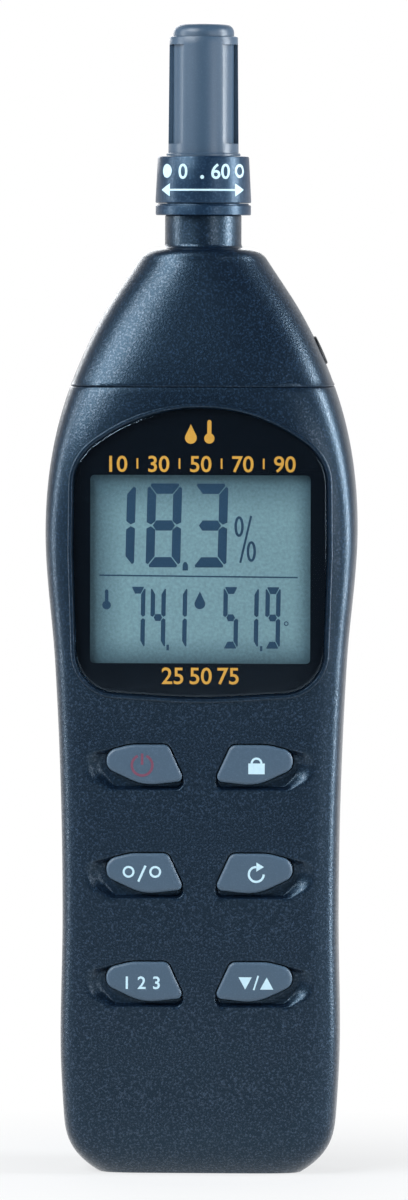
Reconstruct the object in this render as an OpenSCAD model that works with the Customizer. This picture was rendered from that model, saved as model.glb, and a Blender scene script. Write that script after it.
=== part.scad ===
// Hand-held digital psychrometer: a moulded two-part case with a head, a probe
// with a turning sensor guard, a display, six sprung keys and a battery bay.
// Millimetres. It stands on its foot: +Z is up, the front faces -Y, and the
// origin is the middle of the foot, straight below the probe's axis.

/* [Case outline] */
// Height of the seam between the case and the head
seam_z = 154.2; // [150:0.1:160]
// Width at the hips, low on the case
hip_w = 54.7; // [52:0.1:60]
// Height of the hips
hip_z = 27; // [22:0.5:32]
// Width at the waist, the narrowest place of the grip
waist_w = 54; // [51:0.1:60]
// Height of the waist
waist_z = 50; // [44:0.5:56]
// Width where the grip opens out, at the foot of the display
grip_w = 57; // [55:0.1:62]
// Height of that width
grip_z = 100; // [96:0.5:104]
// Width at the shoulders, beside the display
shoulder_w = 61; // [59:0.1:68]
// Height of the shoulders
shoulder_z = 126; // [120:0.5:132]
// Width at the seam
seam_w = 51.7; // [49:0.1:56]
// Height over which the foot draws in
foot_h = 12; // [8:0.5:16]
// How far each side of the foot draws in
foot_in_w = 6; // [4:0.1:9]
// How far the front and the back of the foot draw in
foot_in_d = 4.5; // [2:0.1:6]

/* [Case depth] */
// Depth of the front at the hips, from the parting plane
front_hip_d = 15.3; // [14.5:0.1:17]
// Depth of the front at the foot of the display
front_grip_d = 16.5; // [16:0.1:18]
// Depth of the front at the display
front_face_d = 16.9; // [16.5:0.1:19]
// Depth of the front at the seam
front_seam_d = 15.9; // [14:0.1:17]
// Depth of the back at the hips
back_hip_d = 16.3; // [16:0.1:20]
// Depth of the back at the shoulders
back_shoulder_d = 17.2; // [16.5:0.1:21]
// Depth of the back at the seam
back_seam_d = 16; // [14:0.1:19]
// Thickness of the moulded walls
wall = 2.1; // [1.8:0.1:2.6]
// Chamfer on each side of the seam
seam_chamfer = 0.35; // [0.1:0.05:0.6]
// Height of the tongue that registers the two halves
tongue_h = 1.2; // [0.8:0.1:1.6]
// Thickness of the tongue
tongue_t = 0.9; // [0.6:0.05:1.1]

/* [Head and neck] */
// Height of the head above the seam
head_h = 26.9; // [24:0.1:32]
// Width of the head part way up its flanks
flank_w = 38.9; // [36:0.1:44]
// Height of that width above the seam
flank_h = 14; // [11:0.1:16]
// Depth of the head there, on each side of the middle
flank_d = 12.9; // [12:0.1:15]
// Width of the head where its top edge starts to round
head_top_w = 25; // [22:0.1:30]
// Depth of the head at its top
head_top_d = 20.4; // [19:0.1:26]
// Radius of the head's top edge
head_round = 2.1; // [1:0.1:3]
// Diameter of the neck
neck_d = 15; // [14:0.1:17]
// Height of the neck above the head
neck_h = 6.5; // [4:0.1:10]
// Bore of the neck
neck_bore = 11; // [10:0.1:12]
// How far the head's spigot reaches down into the case
spigot_h = 3.4; // [2:0.1:5]
// Thickness of the spigot
spigot_t = 1.2; // [0.8:0.1:1.8]

/* [Probe and guard] */
// Diameter of the fixed ring under the collar
ring_d = 18.7; // [18:0.1:21]
// Height of that ring
ring_h = 2; // [1.2:0.1:3]
// Gap between the ring and the collar
ring_gap = 0.4; // [0.2:0.05:0.8]
// Diameter of the inner cage
cage_d = 11.9; // [11:0.1:12.6]
// Wall of the inner cage
cage_wall = 1; // [0.8:0.05:1.4]
// How far the cage's domed end stands out of the sleeve
dome_h = 2.4; // [1.8:0.1:4]
// Radius of the dome's edge
dome_round = 1.7; // [0.8:0.1:2.2]
// Running clearance between the sleeve and the cage, on the radius
guard_clearance = 0.08; // [0.04:0.01:0.1]
// Height of the turning collar
collar_h = 9.2; // [8:0.1:12]
// Diameter of the collar at its lower edge
collar_d = 18.8; // [18.4:0.1:21]
// Diameter of the collar at its upper edge
collar_top_d = 17.9; // [17:0.1:20]
// Height of the sleeve above the collar
sleeve_h = 23.4; // [18:0.1:28]
// Diameter of the sleeve at the collar
sleeve_d = 13.8; // [13.4:0.1:14.6]
// Diameter of the sleeve at its rim
sleeve_top_d = 13.4; // [13.2:0.1:14]
// Width of each air window, in degrees round the axis
window_arc = 50; // [40:1:54]
// Height of the band left below the air windows
window_foot = 2.4; // [1:0.1:4]
// Height of the rim left above the air windows
window_rim = 1.6; // [1:0.1:3]
// Turn from closed to open, in degrees
guard_turn = 60; // [60:60:60]
// Diameter of the barrel that the collar turns on
barrel_d = 14.2; // [13.8:0.1:14.6]
// Height of that barrel
barrel_h = 3.8; // [3:0.1:4.6]
// Thickness of the friction ring's cord
friction_cord = 1.14; // [0.9:0.02:1.16]

/* [Display] */
// Width of the display lens
lens_w = 49.4; // [46:0.1:52]
// Height of the lens's lower edge
lens_z = 93.8; // [92.5:0.1:96]
// Height of the lens
lens_h = 56.4; // [54:0.1:58]
// Radius of the lens's arched top
lens_arch_r = 33.7; // [30:0.1:40]
// Radius of the lens's upper corners
lens_shoulder_r = 10; // [6:0.1:14]
// Radius of the lens's lower corners
lens_corner_r = 8.2; // [5:0.1:12]
// Thickness of the lens
lens_t = 1.5; // [1.2:0.1:2]
// Thickness of the black print behind the lens
mask_t = 0.12; // [0.08:0.01:0.2]
// Width of the raised lip round the lens
lip_w = 0.8; // [0.5:0.05:1.2]
// How far the lip stands forward of the front
lip_proud = 0.25; // [0.1:0.05:0.5]
// Width of the clear window
window_w = 42.9; // [40:0.1:44]
// Height of the clear window
window_h = 36.7; // [34:0.1:38]
// Height of the window's centre
window_z = 118.7; // [117:0.1:120]
// Thickness of the liquid-crystal cell
cell_t = 1.9; // [1.5:0.1:2.4]

/* [Keys] */
// Width of a key cap
key_w = 14.7; // [13:0.1:15.5]
// Height of a key cap
key_h = 7.7; // [7:0.1:9]
// Distance of a key's centre from the middle of the case
key_x = 10.8; // [10.4:0.1:11.4]
// Height of the top row's centre
key_top_z = 80.7; // [80:0.1:82]
// Distance between rows
key_pitch = 21.25; // [20:0.05:22]
// How far a key stands forward of the front
key_proud = 0.35; // [0.2:0.05:0.8]
// Travel of a key
key_travel = 0.7; // [0.5:0.05:0.8]
// Gap round a key
key_gap = 0.25; // [0.15:0.05:0.35]
// How far the scooped recess reaches past the key's outer end
scoop_reach = 4.5; // [3:0.1:5]
// How far the scooped recess reaches below the key
scoop_drop = 1.3; // [0.8:0.1:1.8]
// Depth of the scooped recess
scoop_depth = 1.5; // [1:0.1:1.7]

/* [Battery bay] */
// Diameter of a cell
battery_d = 10.4; // [10:0.1:10.5]
// Length of a cell without its cap
battery_l = 43.7; // [43:0.1:44.5]
// Gap between cells
battery_gap = 0.4; // [0.2:0.1:0.6]
// Room left for each contact spring along its cell
spring_l = 5.8; // [4:0.1:7]
// Height of the door's lower edge
door_z = 10; // [9.5:0.1:12]
// Height of the door
door_h = 51; // [50.5:0.1:53]
// Width of the door
door_w = 45.8; // [45.4:0.1:46.4]
// Thickness of the door
door_t = 1.8; // [1.4:0.1:2]
// Gap round the door
door_gap = 0.25; // [0.15:0.05:0.4]

/* [Port] */
// Height of the side port above the seam
port_h = 7; // [5:0.1:9]
// Diameter of the rubber plug's cap
plug_d = 5.9; // [5:0.1:6.5]
// How far the plug's cap stands out
plug_proud = 0.4; // [0.2:0.05:0.8]
// Diameter of the plug's stem
plug_stem_d = 3.5; // [3:0.1:3.6]

/* [Hidden] */

FRONT = -1;
BACK = 1;
fit_gap = 0.12;
tongue_in = wall - 0.3;
$fn = 64;

// Colours as the object shows them
case_colour = "#2b3d4e";
guard_colour = "#3c5062";
key_colour = "#4e6377";
lens_colour = "#10161d";
board_colour = "#1f5a38";
metal_colour = "#b9bcc0";
rubber_colour = "#15181b";

// Outer form: half widths, depths and corner squareness at named heights
head_z = seam_z + head_h;
flank_z = seam_z + flank_h;
head_edge_z = head_z - head_round;
WIDTHS = [
    [0, hip_w / 2 - 1.35], [hip_z, hip_w / 2], [waist_z, waist_w / 2], [grip_z, grip_w / 2],
    [shoulder_z, shoulder_w / 2], [seam_z, seam_w / 2], [flank_z, flank_w / 2],
    [head_edge_z, head_top_w / 2]];
FRONT_DEPTHS = [
    [0, front_hip_d - 0.8], [hip_z, front_hip_d], [grip_z - 12, front_grip_d],
    [grip_z, front_face_d], [seam_z - 14, front_face_d], [seam_z, front_seam_d],
    [flank_z, flank_d], [head_edge_z, head_top_d / 2]];
BACK_DEPTHS = [
    [0, back_hip_d - 0.8], [hip_z, back_hip_d], [shoulder_z, back_shoulder_d],
    [seam_z, back_seam_d], [flank_z, flank_d + 0.6], [head_edge_z, head_top_d / 2]];
FRONT_SQUARENESS = [
    [0, 6], [hip_z, 9], [grip_z, 9], [shoulder_z, 7.5], [seam_z, 4.2], [flank_z, 3.1],
    [head_edge_z, 2.3]];
BACK_SQUARENESS = [
    [0, 4.6], [hip_z, 5], [shoulder_z, 4.4], [seam_z, 3.6], [flank_z, 2.9],
    [head_edge_z, 2.3]];

// Slope of a smooth curve at station i, level at a crest or a hollow
function slope(p, i) =
    let (last = len(p) - 1,
         a = max(0, min(i, last - 1)),
         rise = (p[a + 1][1] - p[a][1]) / (p[a + 1][0] - p[a][0]))
    i == 0 || i == last ? rise :
    let (before = p[i][0] - p[i - 1][0],
         after = p[i + 1][0] - p[i][0],
         rise_before = (p[i][1] - p[i - 1][1]) / before)
    rise_before * rise <= 0 ? 0 : (rise_before * after + rise * before) / (before + after);

// Value at z of the smooth curve through the stations p
function curve(p, z) =
    let (i = max([0, for (k = [1:1:len(p) - 2]) if (z > p[k][0]) k]),
         h = p[i + 1][0] - p[i][0],
         t = max(0, min(1.4, (z - p[i][0]) / h)))
    p[i][1] * (2 * t * t * t - 3 * t * t + 1) + p[i + 1][1] * (3 * t * t - 2 * t * t * t)
    + h * slope(p, i) * (t * t * t - 2 * t * t + t)
    + h * slope(p, i + 1) * (t * t * t - t * t);

function foot_in(z, amount) = z < foot_h ? amount * pow(1 - z / foot_h, 3) : 0;
function half_w(z) = curve(WIDTHS, z) - foot_in(z, foot_in_w);
function depth(z, side) =
    curve(side < 0 ? FRONT_DEPTHS : BACK_DEPTHS, z) - foot_in(z, foot_in_d);
function squareness(z, side) = curve(side < 0 ? FRONT_SQUARENESS : BACK_SQUARENESS, z);

// Depth coordinate of the outer skin at a place x, z
function skin_y(x, z, side) =
    let (n = squareness(z, side))
    side * depth(z, side) * pow(max(0, 1 - pow(min(1, abs(x) / half_w(z)), n)), 1 / n);

// One point of the section at height z, at angle a, drawn in by inset
function section_point(z, inset, a) =
    let (side = sin(a) < 0 ? FRONT : BACK,
         power = 2 / squareness(z, side))
    [(half_w(z) - inset) * sign(cos(a)) * pow(abs(cos(a)), power),
     (depth(z, side) - inset) * sign(sin(a)) * pow(abs(sin(a)), power), z];

// Half of a section, closed past the parting plane by over
function half_section(z, inset, side, steps, over) =
    [for (i = [0:steps])
        let (p = section_point(z, inset, (side < 0 ? 180 : 0) + 180 * i / steps))
        i == 0 || i == steps ? [p[0], -side * over, z] : p];
function whole_section(z, inset, steps) =
    [for (i = [0:steps - 1]) section_point(z, inset, 360 * i / steps)];

// A closed solid through rings of equally many points, listed from its base up
module loft(rings) {
    m = len(rings[0]);
    n = len(rings);
    polyhedron(
        points = [for (ring = rings) each ring],
        faces = concat(
            [[for (i = [0:m - 1]) i]],
            [for (r = [0:n - 2], i = [0:m - 1])
                [r * m + i, (r + 1) * m + i, (r + 1) * m + (i + 1) % m]],
            [for (r = [0:n - 2], i = [0:m - 1])
                [r * m + i, (r + 1) * m + (i + 1) % m, r * m + (i + 1) % m]],
            [[for (i = [m - 1:-1:0]) (n - 1) * m + i]]),
        convexity = 8);
}

// Levels of the skin as [height, inset]: close together where the foot curves
foot_steps = 7;
body_steps = 22;
head_steps = 7;
skin_steps = 24;
core_steps = 12;
FOOT_LEVELS = [for (i = [0:foot_steps - 1]) [foot_h * pow(i / foot_steps, 1.6), 0]];
BODY_LEVELS = concat(
    FOOT_LEVELS,
    [for (i = [0:body_steps - 1])
        [foot_h + (seam_z - seam_chamfer - foot_h) * i / (body_steps - 1), 0]],
    [[seam_z, seam_chamfer]]);
CORE_LEVELS = [
    for (i = [0:13]) [wall + (seam_z + 1 - wall) * i / 13, wall]];
HEAD_LEVELS = concat(
    [[seam_z, seam_chamfer]],
    [for (i = [0:head_steps - 1])
        [seam_z + seam_chamfer
            + (head_edge_z - seam_z - seam_chamfer) * i / (head_steps - 1), 0]]);

function levelled(levels, side, steps, over) =
    [for (l = levels) half_section(l[0], l[1], side, steps, over)];

// Outlines in the plane of the front, as [x, z] points going anticlockwise
function unit(v) = v / norm(v);
function corner(a, p, b, r, steps) =
    let (u = unit(a - p), v = unit(b - p),
         half = acos(u * v) / 2,
         middle = p + unit(u + v) * r / sin(half),
         from = p + u * r / tan(half) - middle,
         start = atan2(from[1], from[0]))
    [for (i = [0:steps])
        let (t = start + (180 - 2 * half) * i / steps)
        middle + r * [cos(t), sin(t)]];
// p is a list of [point, radius]; steps is the number of chords in each corner
function rounded(p, steps) =
    let (n = len(p))
    [for (i = [0:n - 1])
        each corner(p[(i + n - 1) % n][0], p[i][0], p[(i + 1) % n][0], p[i][1], steps)];
// Corners drawn in by d, for rings that stay clear of themselves
function drawn_in(p, d) =
    let (n = len(p))
    [for (i = [0:n - 1])
        let (u = unit(p[(i + n - 1) % n][0] - p[i][0]), v = unit(p[(i + 1) % n][0] - p[i][0]),
             half = acos(u * v) / 2)
        [p[i][0] + unit(u + v) * d / sin(half), max(p[i][1] - d, 0.3)]];
function grow(points, d) =
    let (n = len(points))
    [for (i = [0:n - 1])
        let (t = unit(points[(i + 1) % n] - points[(i + n - 1) % n]))
        points[i] + d * [t[1], -t[0]]];
function mirrored(points) =
    [for (i = [len(points) - 1:-1:0]) [-points[i][0], points[i][1]]];
function at(points, x, z) = [for (p = points) p + [x, z]];
function ring_at(points, y) = [for (p = points) [p[0], y, p[1]]];
function box_outline(w, h, r) =
    rounded([[[-w / 2, -h / 2], r], [[w / 2, -h / 2], r], [[w / 2, h / 2], r],
        [[-w / 2, h / 2], r]], 5);

// An outline extruded from y0 back to y1
module slab(points, y0, y1) {
    translate([0, y1, 0]) rotate([90, 0, 0]) linear_extrude(y1 - y0) polygon(points);
}
// A round bar along Y
module bar_y(x, z, r, y0, y1) {
    translate([x, y1, z]) rotate([90, 0, 0]) cylinder(r = r, h = y1 - y0);
}
module block(x0, x1, y0, y1, z0, z1) {
    translate([x0, y0, z0]) cube([x1 - x0, y1 - y0, z1 - z0]);
}
// A sector of a ring round the probe's axis, centred on the angle a
module sector(r0, r1, z0, z1, a, width) {
    rotate([0, 0, a - width / 2]) rotate_extrude(angle = width)
        polygon([[r0, z0], [r1, z0], [r1, z1], [r0, z1]]);
}
// Silhouette of the case, drawn in by inset, as [x, z] points
function silhouette(inset) =
    let (right = [for (l = BODY_LEVELS)
        if (l[0] > inset && l[0] < seam_z) [half_w(l[0]) - inset, l[0]]],
        base = [half_w(inset) - inset, inset],
        tip = [half_w(seam_z) - inset, seam_z])
    concat([base], right, [tip], mirrored(concat([base], right, [tip])));

// Display lens
lens_top = lens_z + lens_h;
lens_tilt = 36;
lens_apex = lens_top + lens_arch_r * (1 / cos(lens_tilt) - 1);
lens_front = -front_face_d - 0.05;
lens_back = lens_front + lens_t;
mask_back = lens_back + mask_t;
// The shoulder's fillet has the room that the arch leaves along their common tangent
shoulder_gap = 0.3;
shoulder_room = lens_w / 2 / cos(lens_tilt) - lens_arch_r * tan(lens_tilt) - shoulder_gap;
shoulder_r = min(lens_shoulder_r, shoulder_room * tan(45 + lens_tilt / 2));
lens_foot_r = 111;
lens_foot_drop = 0.4;
lens_foot_in = 0.7;
lens_foot_up = 1.1;
lens_flank_r = 60;
lens_flank_h = 28;
lens_bow = 0.2;
LENS = rounded([
    [[0, lens_z - lens_foot_drop], lens_foot_r],
    [[lens_w / 2 - lens_foot_in, lens_z + lens_foot_up], lens_corner_r],
    [[lens_w / 2 + lens_bow, lens_z + lens_flank_h], lens_flank_r],
    [[lens_w / 2, lens_apex - lens_w / 2 * tan(lens_tilt)], shoulder_r],
    [[0, lens_apex], lens_arch_r],
    [[-lens_w / 2, lens_apex - lens_w / 2 * tan(lens_tilt)], shoulder_r],
    [[-lens_w / 2 - lens_bow, lens_z + lens_flank_h], lens_flank_r],
    [[-lens_w / 2 + lens_foot_in, lens_z + lens_foot_up], lens_corner_r]], 6);
window_r = 0.8;
WINDOW = at(box_outline(window_w, window_h, window_r), 0, window_z);
mask_rim = 1.5;
land_t = 1.4;
land_back = mask_back + land_t;
cell_side = 1.4;
cell_ledge = 2.6;
cell_w = window_w + 2 * cell_side;
cell_h = window_h + 2 * cell_ledge;
cell_front = land_back + 0.1;
cell_back = cell_front + cell_t;
frame_t = 0.8;
frame_clearance = 0.25;

// Board and keypad planes
board_front = -9.6;
board_t = 1.6;
mat_t = 0.65;
mat_dome = 0.25;
mat_margin = 1.4;
pill_r = 3;
key_back = board_front - mat_t - mat_dome - key_travel - 0.05;
flange_t = 0.6;
flange_front = key_back - flange_t;
pad_back = flange_front - 0.15;

// Key outline: a blunt nose at the outer end, a slanted inner end and bowed long
// sides; KEY is a key of the left column
KEY = rounded([
    [[-key_w / 2, -0.22 * key_h / 2], 2.2],
    [[-0.2, -key_h / 2 - 0.35], 10],
    [[key_w / 2 + 0.58, -key_h / 2 + 0.59], 1.1],
    [[key_w / 2 - 2.65, key_h / 2], 1.6],
    [[-2.6, key_h / 2], 10],
    [[-key_w / 2, key_h / 2 - 1.25], 2.4]], 6);
// The scoop follows the key along the top, and passes it outside and below
SCOOP_CORNERS = [
    [[-key_w / 2 - scoop_reach, -key_h / 2 + 1.1], 3.4],
    [[-key_w / 2 + 0.6, -key_h / 2 - scoop_drop], 5],
    [[key_w / 2 + 1.35, -key_h / 2 - scoop_drop], 1.7],
    [[key_w / 2 - 2.4, key_h / 2 + key_gap], 1.7],
    [[-2.6, key_h / 2 + key_gap], 10],
    [[-key_w / 2 - scoop_reach, key_h / 2 - 1.9], 2.6]];
function scoop(inset, side, row) =
    at(handed(rounded(drawn_in(SCOOP_CORNERS, inset), 6), side), side * key_x, row_z(row));
// Cove of the scoop as [inset, share of the depth], from its floor outwards
COVE = [[2.1, 1], [1.3, 0.92], [0.65, 0.7], [0.2, 0.38], [0, 0]];
function key_plane(z) = -depth(z, FRONT);
function handed(points, side) = side < 0 ? points : mirrored(points);
function row_z(row) = key_top_z - row * key_pitch;

module key_scoop(side, row) {
    z = row_z(row);
    loft(concat(
        [for (c = COVE) ring_at(scoop(c[0], side, row), key_plane(z) + c[1] * scoop_depth)],
        [ring_at(scoop(-0.15, side, row), key_plane(z) - 0.9)]));
}
module key_hole(side, row) {
    slab(grow(at(handed(KEY, side), side * key_x, row_z(row)), key_gap),
        key_plane(row_z(row)) - 0.5, pad_back + 1);
}
module key_pad(side, row) {
    slab(scoop(-0.9, side, row), key_plane(row_z(row)) + 1.1, pad_back);
}

// Case screws, their bosses and posts
boss_r = 2.9;
post_r = 3.2;
screw_head_r = 2.4;
screw_r = 1.3;
screw_l = 14;
screw_head_h = 1.7;
screw_seat = 6;
screw_bore_l = 10.5;
upper_screw_drop = 9;
upper_screw_z = seam_z - upper_screw_drop;
upper_screw_in = 7.3;
lower_screw_drop = 28;
lower_screw_z = grip_z - lower_screw_drop;
lower_screw_in = 6.4;
CASE_SCREWS = [
    for (side = [1, -1])
        each [[side * (half_w(upper_screw_z) - upper_screw_in), upper_screw_z],
            [side * (half_w(lower_screw_z) - lower_screw_in), lower_screw_z]]];

// Main board: narrow between the keys, wide behind the display
board_narrow = 17.6;
board_wide = 22.6;
board_low = 24.5;
board_drop = 5.2;
board_high = seam_z - board_drop;
board_waist = lens_z - 0.6;
board_slope = 3;
board_chamfer = 9;
board_chamfer_h = 10.5;
board_shoulder = board_high - board_chamfer_h;
board_screw_in = 1.6;
board_screw_edge = 3;
board_screw_r = 0.8;
board_screw_head_r = 1.9;
board_screw_head_h = 1.2;
board_screw_grip = 2.4;
board_boss_r = 2.2;
BOARD_SCREWS = [
    for (side = [1, -1], z = [board_waist - board_screw_edge, board_low + board_screw_edge])
        [side * (board_narrow - board_screw_in), z]];

// The room inside the front half, drawn in by a clearance
module front_room(clearance) {
    loft([for (l = CORE_LEVELS)
        half_section(l[0], l[1] + clearance, FRONT, core_steps, 1)]);
}
// The clear window through the print and the land, grown by spread; a rim of print
// is left inside the lens's edge
module window_cut(spread, y0, y1) {
    intersection() {
        slab(grow(WINDOW, spread), y0, y1);
        slab(grow(LENS, spread - mask_rim), y0, y1);
    }
}

module front_case() color(case_colour) {
    difference() {
        union() {
            difference() {
                loft(levelled(BODY_LEVELS, FRONT, skin_steps, 0));
                front_room(0);
            }
            slab(grow(LENS, fit_gap + lip_w), -front_face_d - lip_proud, land_back);
            for (side = [-1, 1], row = [0:2]) key_pad(side, row);
            for (s = CASE_SCREWS)
                bar_y(s[0], s[1], boss_r,
                    skin_y(abs(s[0]) + boss_r, s[1], FRONT) + 0.6, -0.1);
            for (s = BOARD_SCREWS)
                bar_y(s[0], s[1], board_boss_r, key_plane(s[1]) + 1, board_front);
            difference() {
                slab(silhouette(tongue_in - tongue_t), -1, tongue_h);
                slab(silhouette(tongue_in), -2, tongue_h + 1);
                block(-seam_w, seam_w, -2, tongue_h + 1, seam_z - spigot_h, seam_z + 1);
            }
        }
        slab(grow(LENS, fit_gap), -front_face_d - 3, mask_back);
        window_cut(1, -front_face_d - 1, land_back + 1);
        for (side = [-1, 1], row = [0:2]) {
            key_scoop(side, row);
            key_hole(side, row);
        }
        for (s = CASE_SCREWS) bar_y(s[0], s[1], screw_r - 0.15, -screw_bore_l, 1);
        for (s = BOARD_SCREWS) bar_y(s[0], s[1], board_screw_r + 0.05, board_front - 3, board_front + 1);
    }
}

// Battery bay
bay_floor = 2.4;
bay_z = door_z - 1;
cap_l = 0.9;
plate_t = 0.3;
plate_gap = 0.05;
bay_top = bay_z + 2 * plate_t + plate_gap + battery_l + cap_l + spring_l;
bay_half = 2 * battery_d + 1.5 * battery_gap + 0.4;
bay_wall = 1.4;
battery_y = bay_floor + battery_d / 2 + 0.2;
door_rest = bay_floor + battery_d * 0.9;
latch_w = 12;
latch_slot = 0.8;
latch_l = 9;
finger_r = 8;
finger_out = 6.2;
finger_up = 4;
tab_w = 4.4;
tab_x = battery_d + battery_gap;
tab_l = 1.6;
hinge_y = depth(door_z, BACK) + 0.05;
hinge_z = door_z - door_gap / 2;
DOOR = at(box_outline(door_w, door_h, 3), 0, door_z + door_h / 2);

module section_slab(z, t, inset) {
    translate([0, 0, z]) linear_extrude(t)
        polygon([for (p = half_section(z, inset, BACK, core_steps, 0)) [p[0], p[1]]]);
}

module rear_case() color(case_colour) {
    out = bay_half + bay_wall;
    difference() {
        union() {
            difference() {
                loft(levelled(BODY_LEVELS, BACK, skin_steps, 0));
                loft(levelled(CORE_LEVELS, BACK, core_steps, 1));
            }
            section_slab(bay_z - bay_wall, bay_wall, 1);
            section_slab(bay_top, bay_wall, 1);
            block(-out, out, bay_floor - bay_wall, bay_floor,
                bay_z - bay_wall, bay_top + bay_wall);
            for (side = [-1, 1])
                block(side * (bay_half + bay_wall / 2) - bay_wall / 2,
                    side * (bay_half + bay_wall / 2) + bay_wall / 2,
                    bay_floor - bay_wall, door_rest, bay_z - bay_wall,
                    bay_top + bay_wall);
            for (s = CASE_SCREWS)
                bar_y(s[0], s[1], post_r, 0.1, skin_y(abs(s[0]) + post_r, s[1], BACK) - 0.5);
            for (side = [-1, 1]) head_lug(side);
        }
        slab(grow(DOOR, door_gap), door_rest, back_hip_d + 4);
        for (s = CASE_SCREWS) {
            bar_y(s[0], s[1], screw_r + 0.15, -1, screw_seat + 1);
            bar_y(s[0], s[1], screw_head_r + 0.25, screw_seat, back_shoulder_d + 2);
        }
        for (side = [-1, 1]) head_screw_bore(side, head_screw_r + 0.1);
        difference() {
            slab(silhouette(tongue_in - tongue_t - 0.1), -1, tongue_h + 0.15);
            slab(silhouette(wall + 0.6), -2, tongue_h + 1);
            block(-seam_w, seam_w, -2, tongue_h + 1, seam_z - spigot_h, seam_z + 1);
        }
        for (side = [-1, 1])
            block(side * tab_x - tab_w / 2 - 0.3, side * tab_x + tab_w / 2 + 0.3,
                hinge_y - 4, hinge_y - wall, bay_z - bay_wall - 0.1, door_z);
        translate([0, skin_y(0, bay_top + finger_up, BACK) + finger_out, door_z + door_h + 1])
            sphere(r = finger_r);
        for (x = [battery_x(1), battery_x(4)])
            block(x - 1.2, x + 1.2, bay_floor - bay_wall - 1, bay_floor + 1.5,
                bay_top - 1, bay_top + bay_wall + 1);
    }
}

// Lugs of the rear case that the head is screwed to
lug_x = 11.5;
lug_w = 7;
lug_t = 3.6;
lug_up = 9.8;
lug_drop = 12;
lug_top = seam_z + lug_up;
head_screw_r = 0.85;
head_screw_head_r = 2;
head_screw_head_h = 0.9;
head_screw_up = 7.5;
head_screw_z = seam_z + head_screw_up;
lug_back = skin_y(lug_x + lug_w / 2, lug_top, BACK) - wall - 0.3;
head_seat = skin_y(lug_x, head_screw_z, BACK) - 1.3;
module head_lug(side) {
    block(side * lug_x - lug_w / 2, side * lug_x + lug_w / 2,
        lug_back - lug_t, lug_back, seam_z - lug_drop, lug_top);
    block(side * lug_x - lug_w / 2, side * lug_x + lug_w / 2,
        lug_back - lug_t, depth(upper_screw_z, BACK) - 1.2, seam_z - lug_drop,
        seam_z - spigot_h - 0.6);
}
module head_screw_bore(side, r) {
    bar_y(side * lug_x, head_screw_z, r, 0, back_seam_d + 4);
}

module head_shell() color(case_colour) {
    neck_z = head_z + neck_h;
    round_levels = [for (a = [22.5:22.5:90])
        [head_edge_z + head_round * sin(a), head_round * (1 - cos(a))]];
    fillet = 0.9;
    difference() {
        union() {
            difference() {
                loft(concat(
                    [for (l = HEAD_LEVELS) whole_section(l[0], l[1], 2 * skin_steps)],
                    [for (l = round_levels)
                        [for (p = whole_section(head_edge_z, l[1], 2 * skin_steps))
                            [p[0], p[1], l[0]]]]));
                loft([for (i = [0:5])
                    whole_section(
                        seam_z - 1 + (head_edge_z - 1 - seam_z + 1) * i / 5, wall,
                        2 * core_steps)]);
            }
            translate([0, 0, seam_z - spigot_h]) linear_extrude(spigot_h + 2.4)
                polygon([for (p = whole_section(seam_z, wall + 0.12, 2 * skin_steps))
                    [p[0], p[1]]]);
            translate([0, 0, head_z - 1]) cylinder(d = neck_d, h = neck_h + 1);
            translate([0, 0, head_z - 0.01]) rotate_extrude()
                difference() {
                    square([neck_d / 2 + fillet, fillet]);
                    translate([neck_d / 2 + fillet, fillet]) circle(r = fillet);
                }
            translate([0, 0, head_z - 8.8]) cylinder(d = neck_bore + 3.4, h = 8.8);
            for (side = [-1, 1])
                bar_y(side * lug_x, head_screw_z, 3.2, lug_back + 0.1, head_seat);
            port_frame() translate([0, 0, -wall - port_boss_h])
                cylinder(d = plug_stem_d + 4, h = port_boss_h + 0.9);
        }
        translate([0, 0, seam_z - spigot_h - 1]) linear_extrude(spigot_h + 4.4)
            polygon([for (p = whole_section(
                seam_z, wall + 0.12 + spigot_t, 2 * skin_steps)) [p[0], p[1]]]);
        translate([0, 0, head_z - 13]) cylinder(d = neck_bore, h = neck_h + 20);
        for (side = [-1, 1]) {
            head_screw_bore(side, head_screw_r + 0.4);
            bar_y(side * lug_x, head_screw_z, head_screw_head_r + 0.3, head_seat,
                back_seam_d + 4);
            block(side * lug_x - lug_w / 2 - 0.2, side * lug_x + lug_w / 2 + 0.2,
                lug_back - lug_t - 0.2, lug_back + 0.1, seam_z - spigot_h - 1,
                lug_top + 0.3);
        }
        port_frame() {
            translate([0, 0, -12]) cylinder(d = plug_stem_d + 0.3, h = 14);
            translate([0, 0, -0.55]) cylinder(d = plug_d + 0.3, h = 3);
        }
    }
}

// Side port: its own frame has the outward normal of the flank as +Z
port_z = seam_z + port_h;
port_slope = (half_w(port_z + 2) - half_w(port_z - 2)) / 4;
port_tilt = 90 + atan(port_slope);
module port_frame() {
    translate([half_w(port_z), 0, port_z]) rotate([0, port_tilt, 0]) children();
}
module port_plug() color(rubber_colour) {
    port_frame() {
        translate([0, 0, -0.45]) difference() {
            rotate_extrude() polygon([
                [0, 0], [plug_d / 2, 0], [plug_d / 2, plug_proud + 0.2],
                [plug_d / 2 - 0.25, plug_proud + 0.45], [0, plug_proud + 0.45]]);
            translate([0, plug_d / 2, plug_proud + 0.45]) rotate([0, 90, 0])
                cylinder(r = 0.5, h = 2, center = true);
        }
        translate([0, 0, -4.6]) cylinder(d = plug_stem_d, h = 4.3);
    }
}
// The socket sits against a boss inside the flank
port_boss_h = 1.3;
socket_w = 8;
socket_l = 8;
module port_socket() color(rubber_colour) {
    port_frame() translate([0, 0, -wall - port_boss_h - socket_l]) difference() {
        translate([-socket_w / 2, -socket_w / 2, 0]) cube([socket_w, socket_w, socket_l]);
        translate([0, 0, 1]) cylinder(d = plug_stem_d + 0.2, h = socket_l);
    }
}

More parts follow.
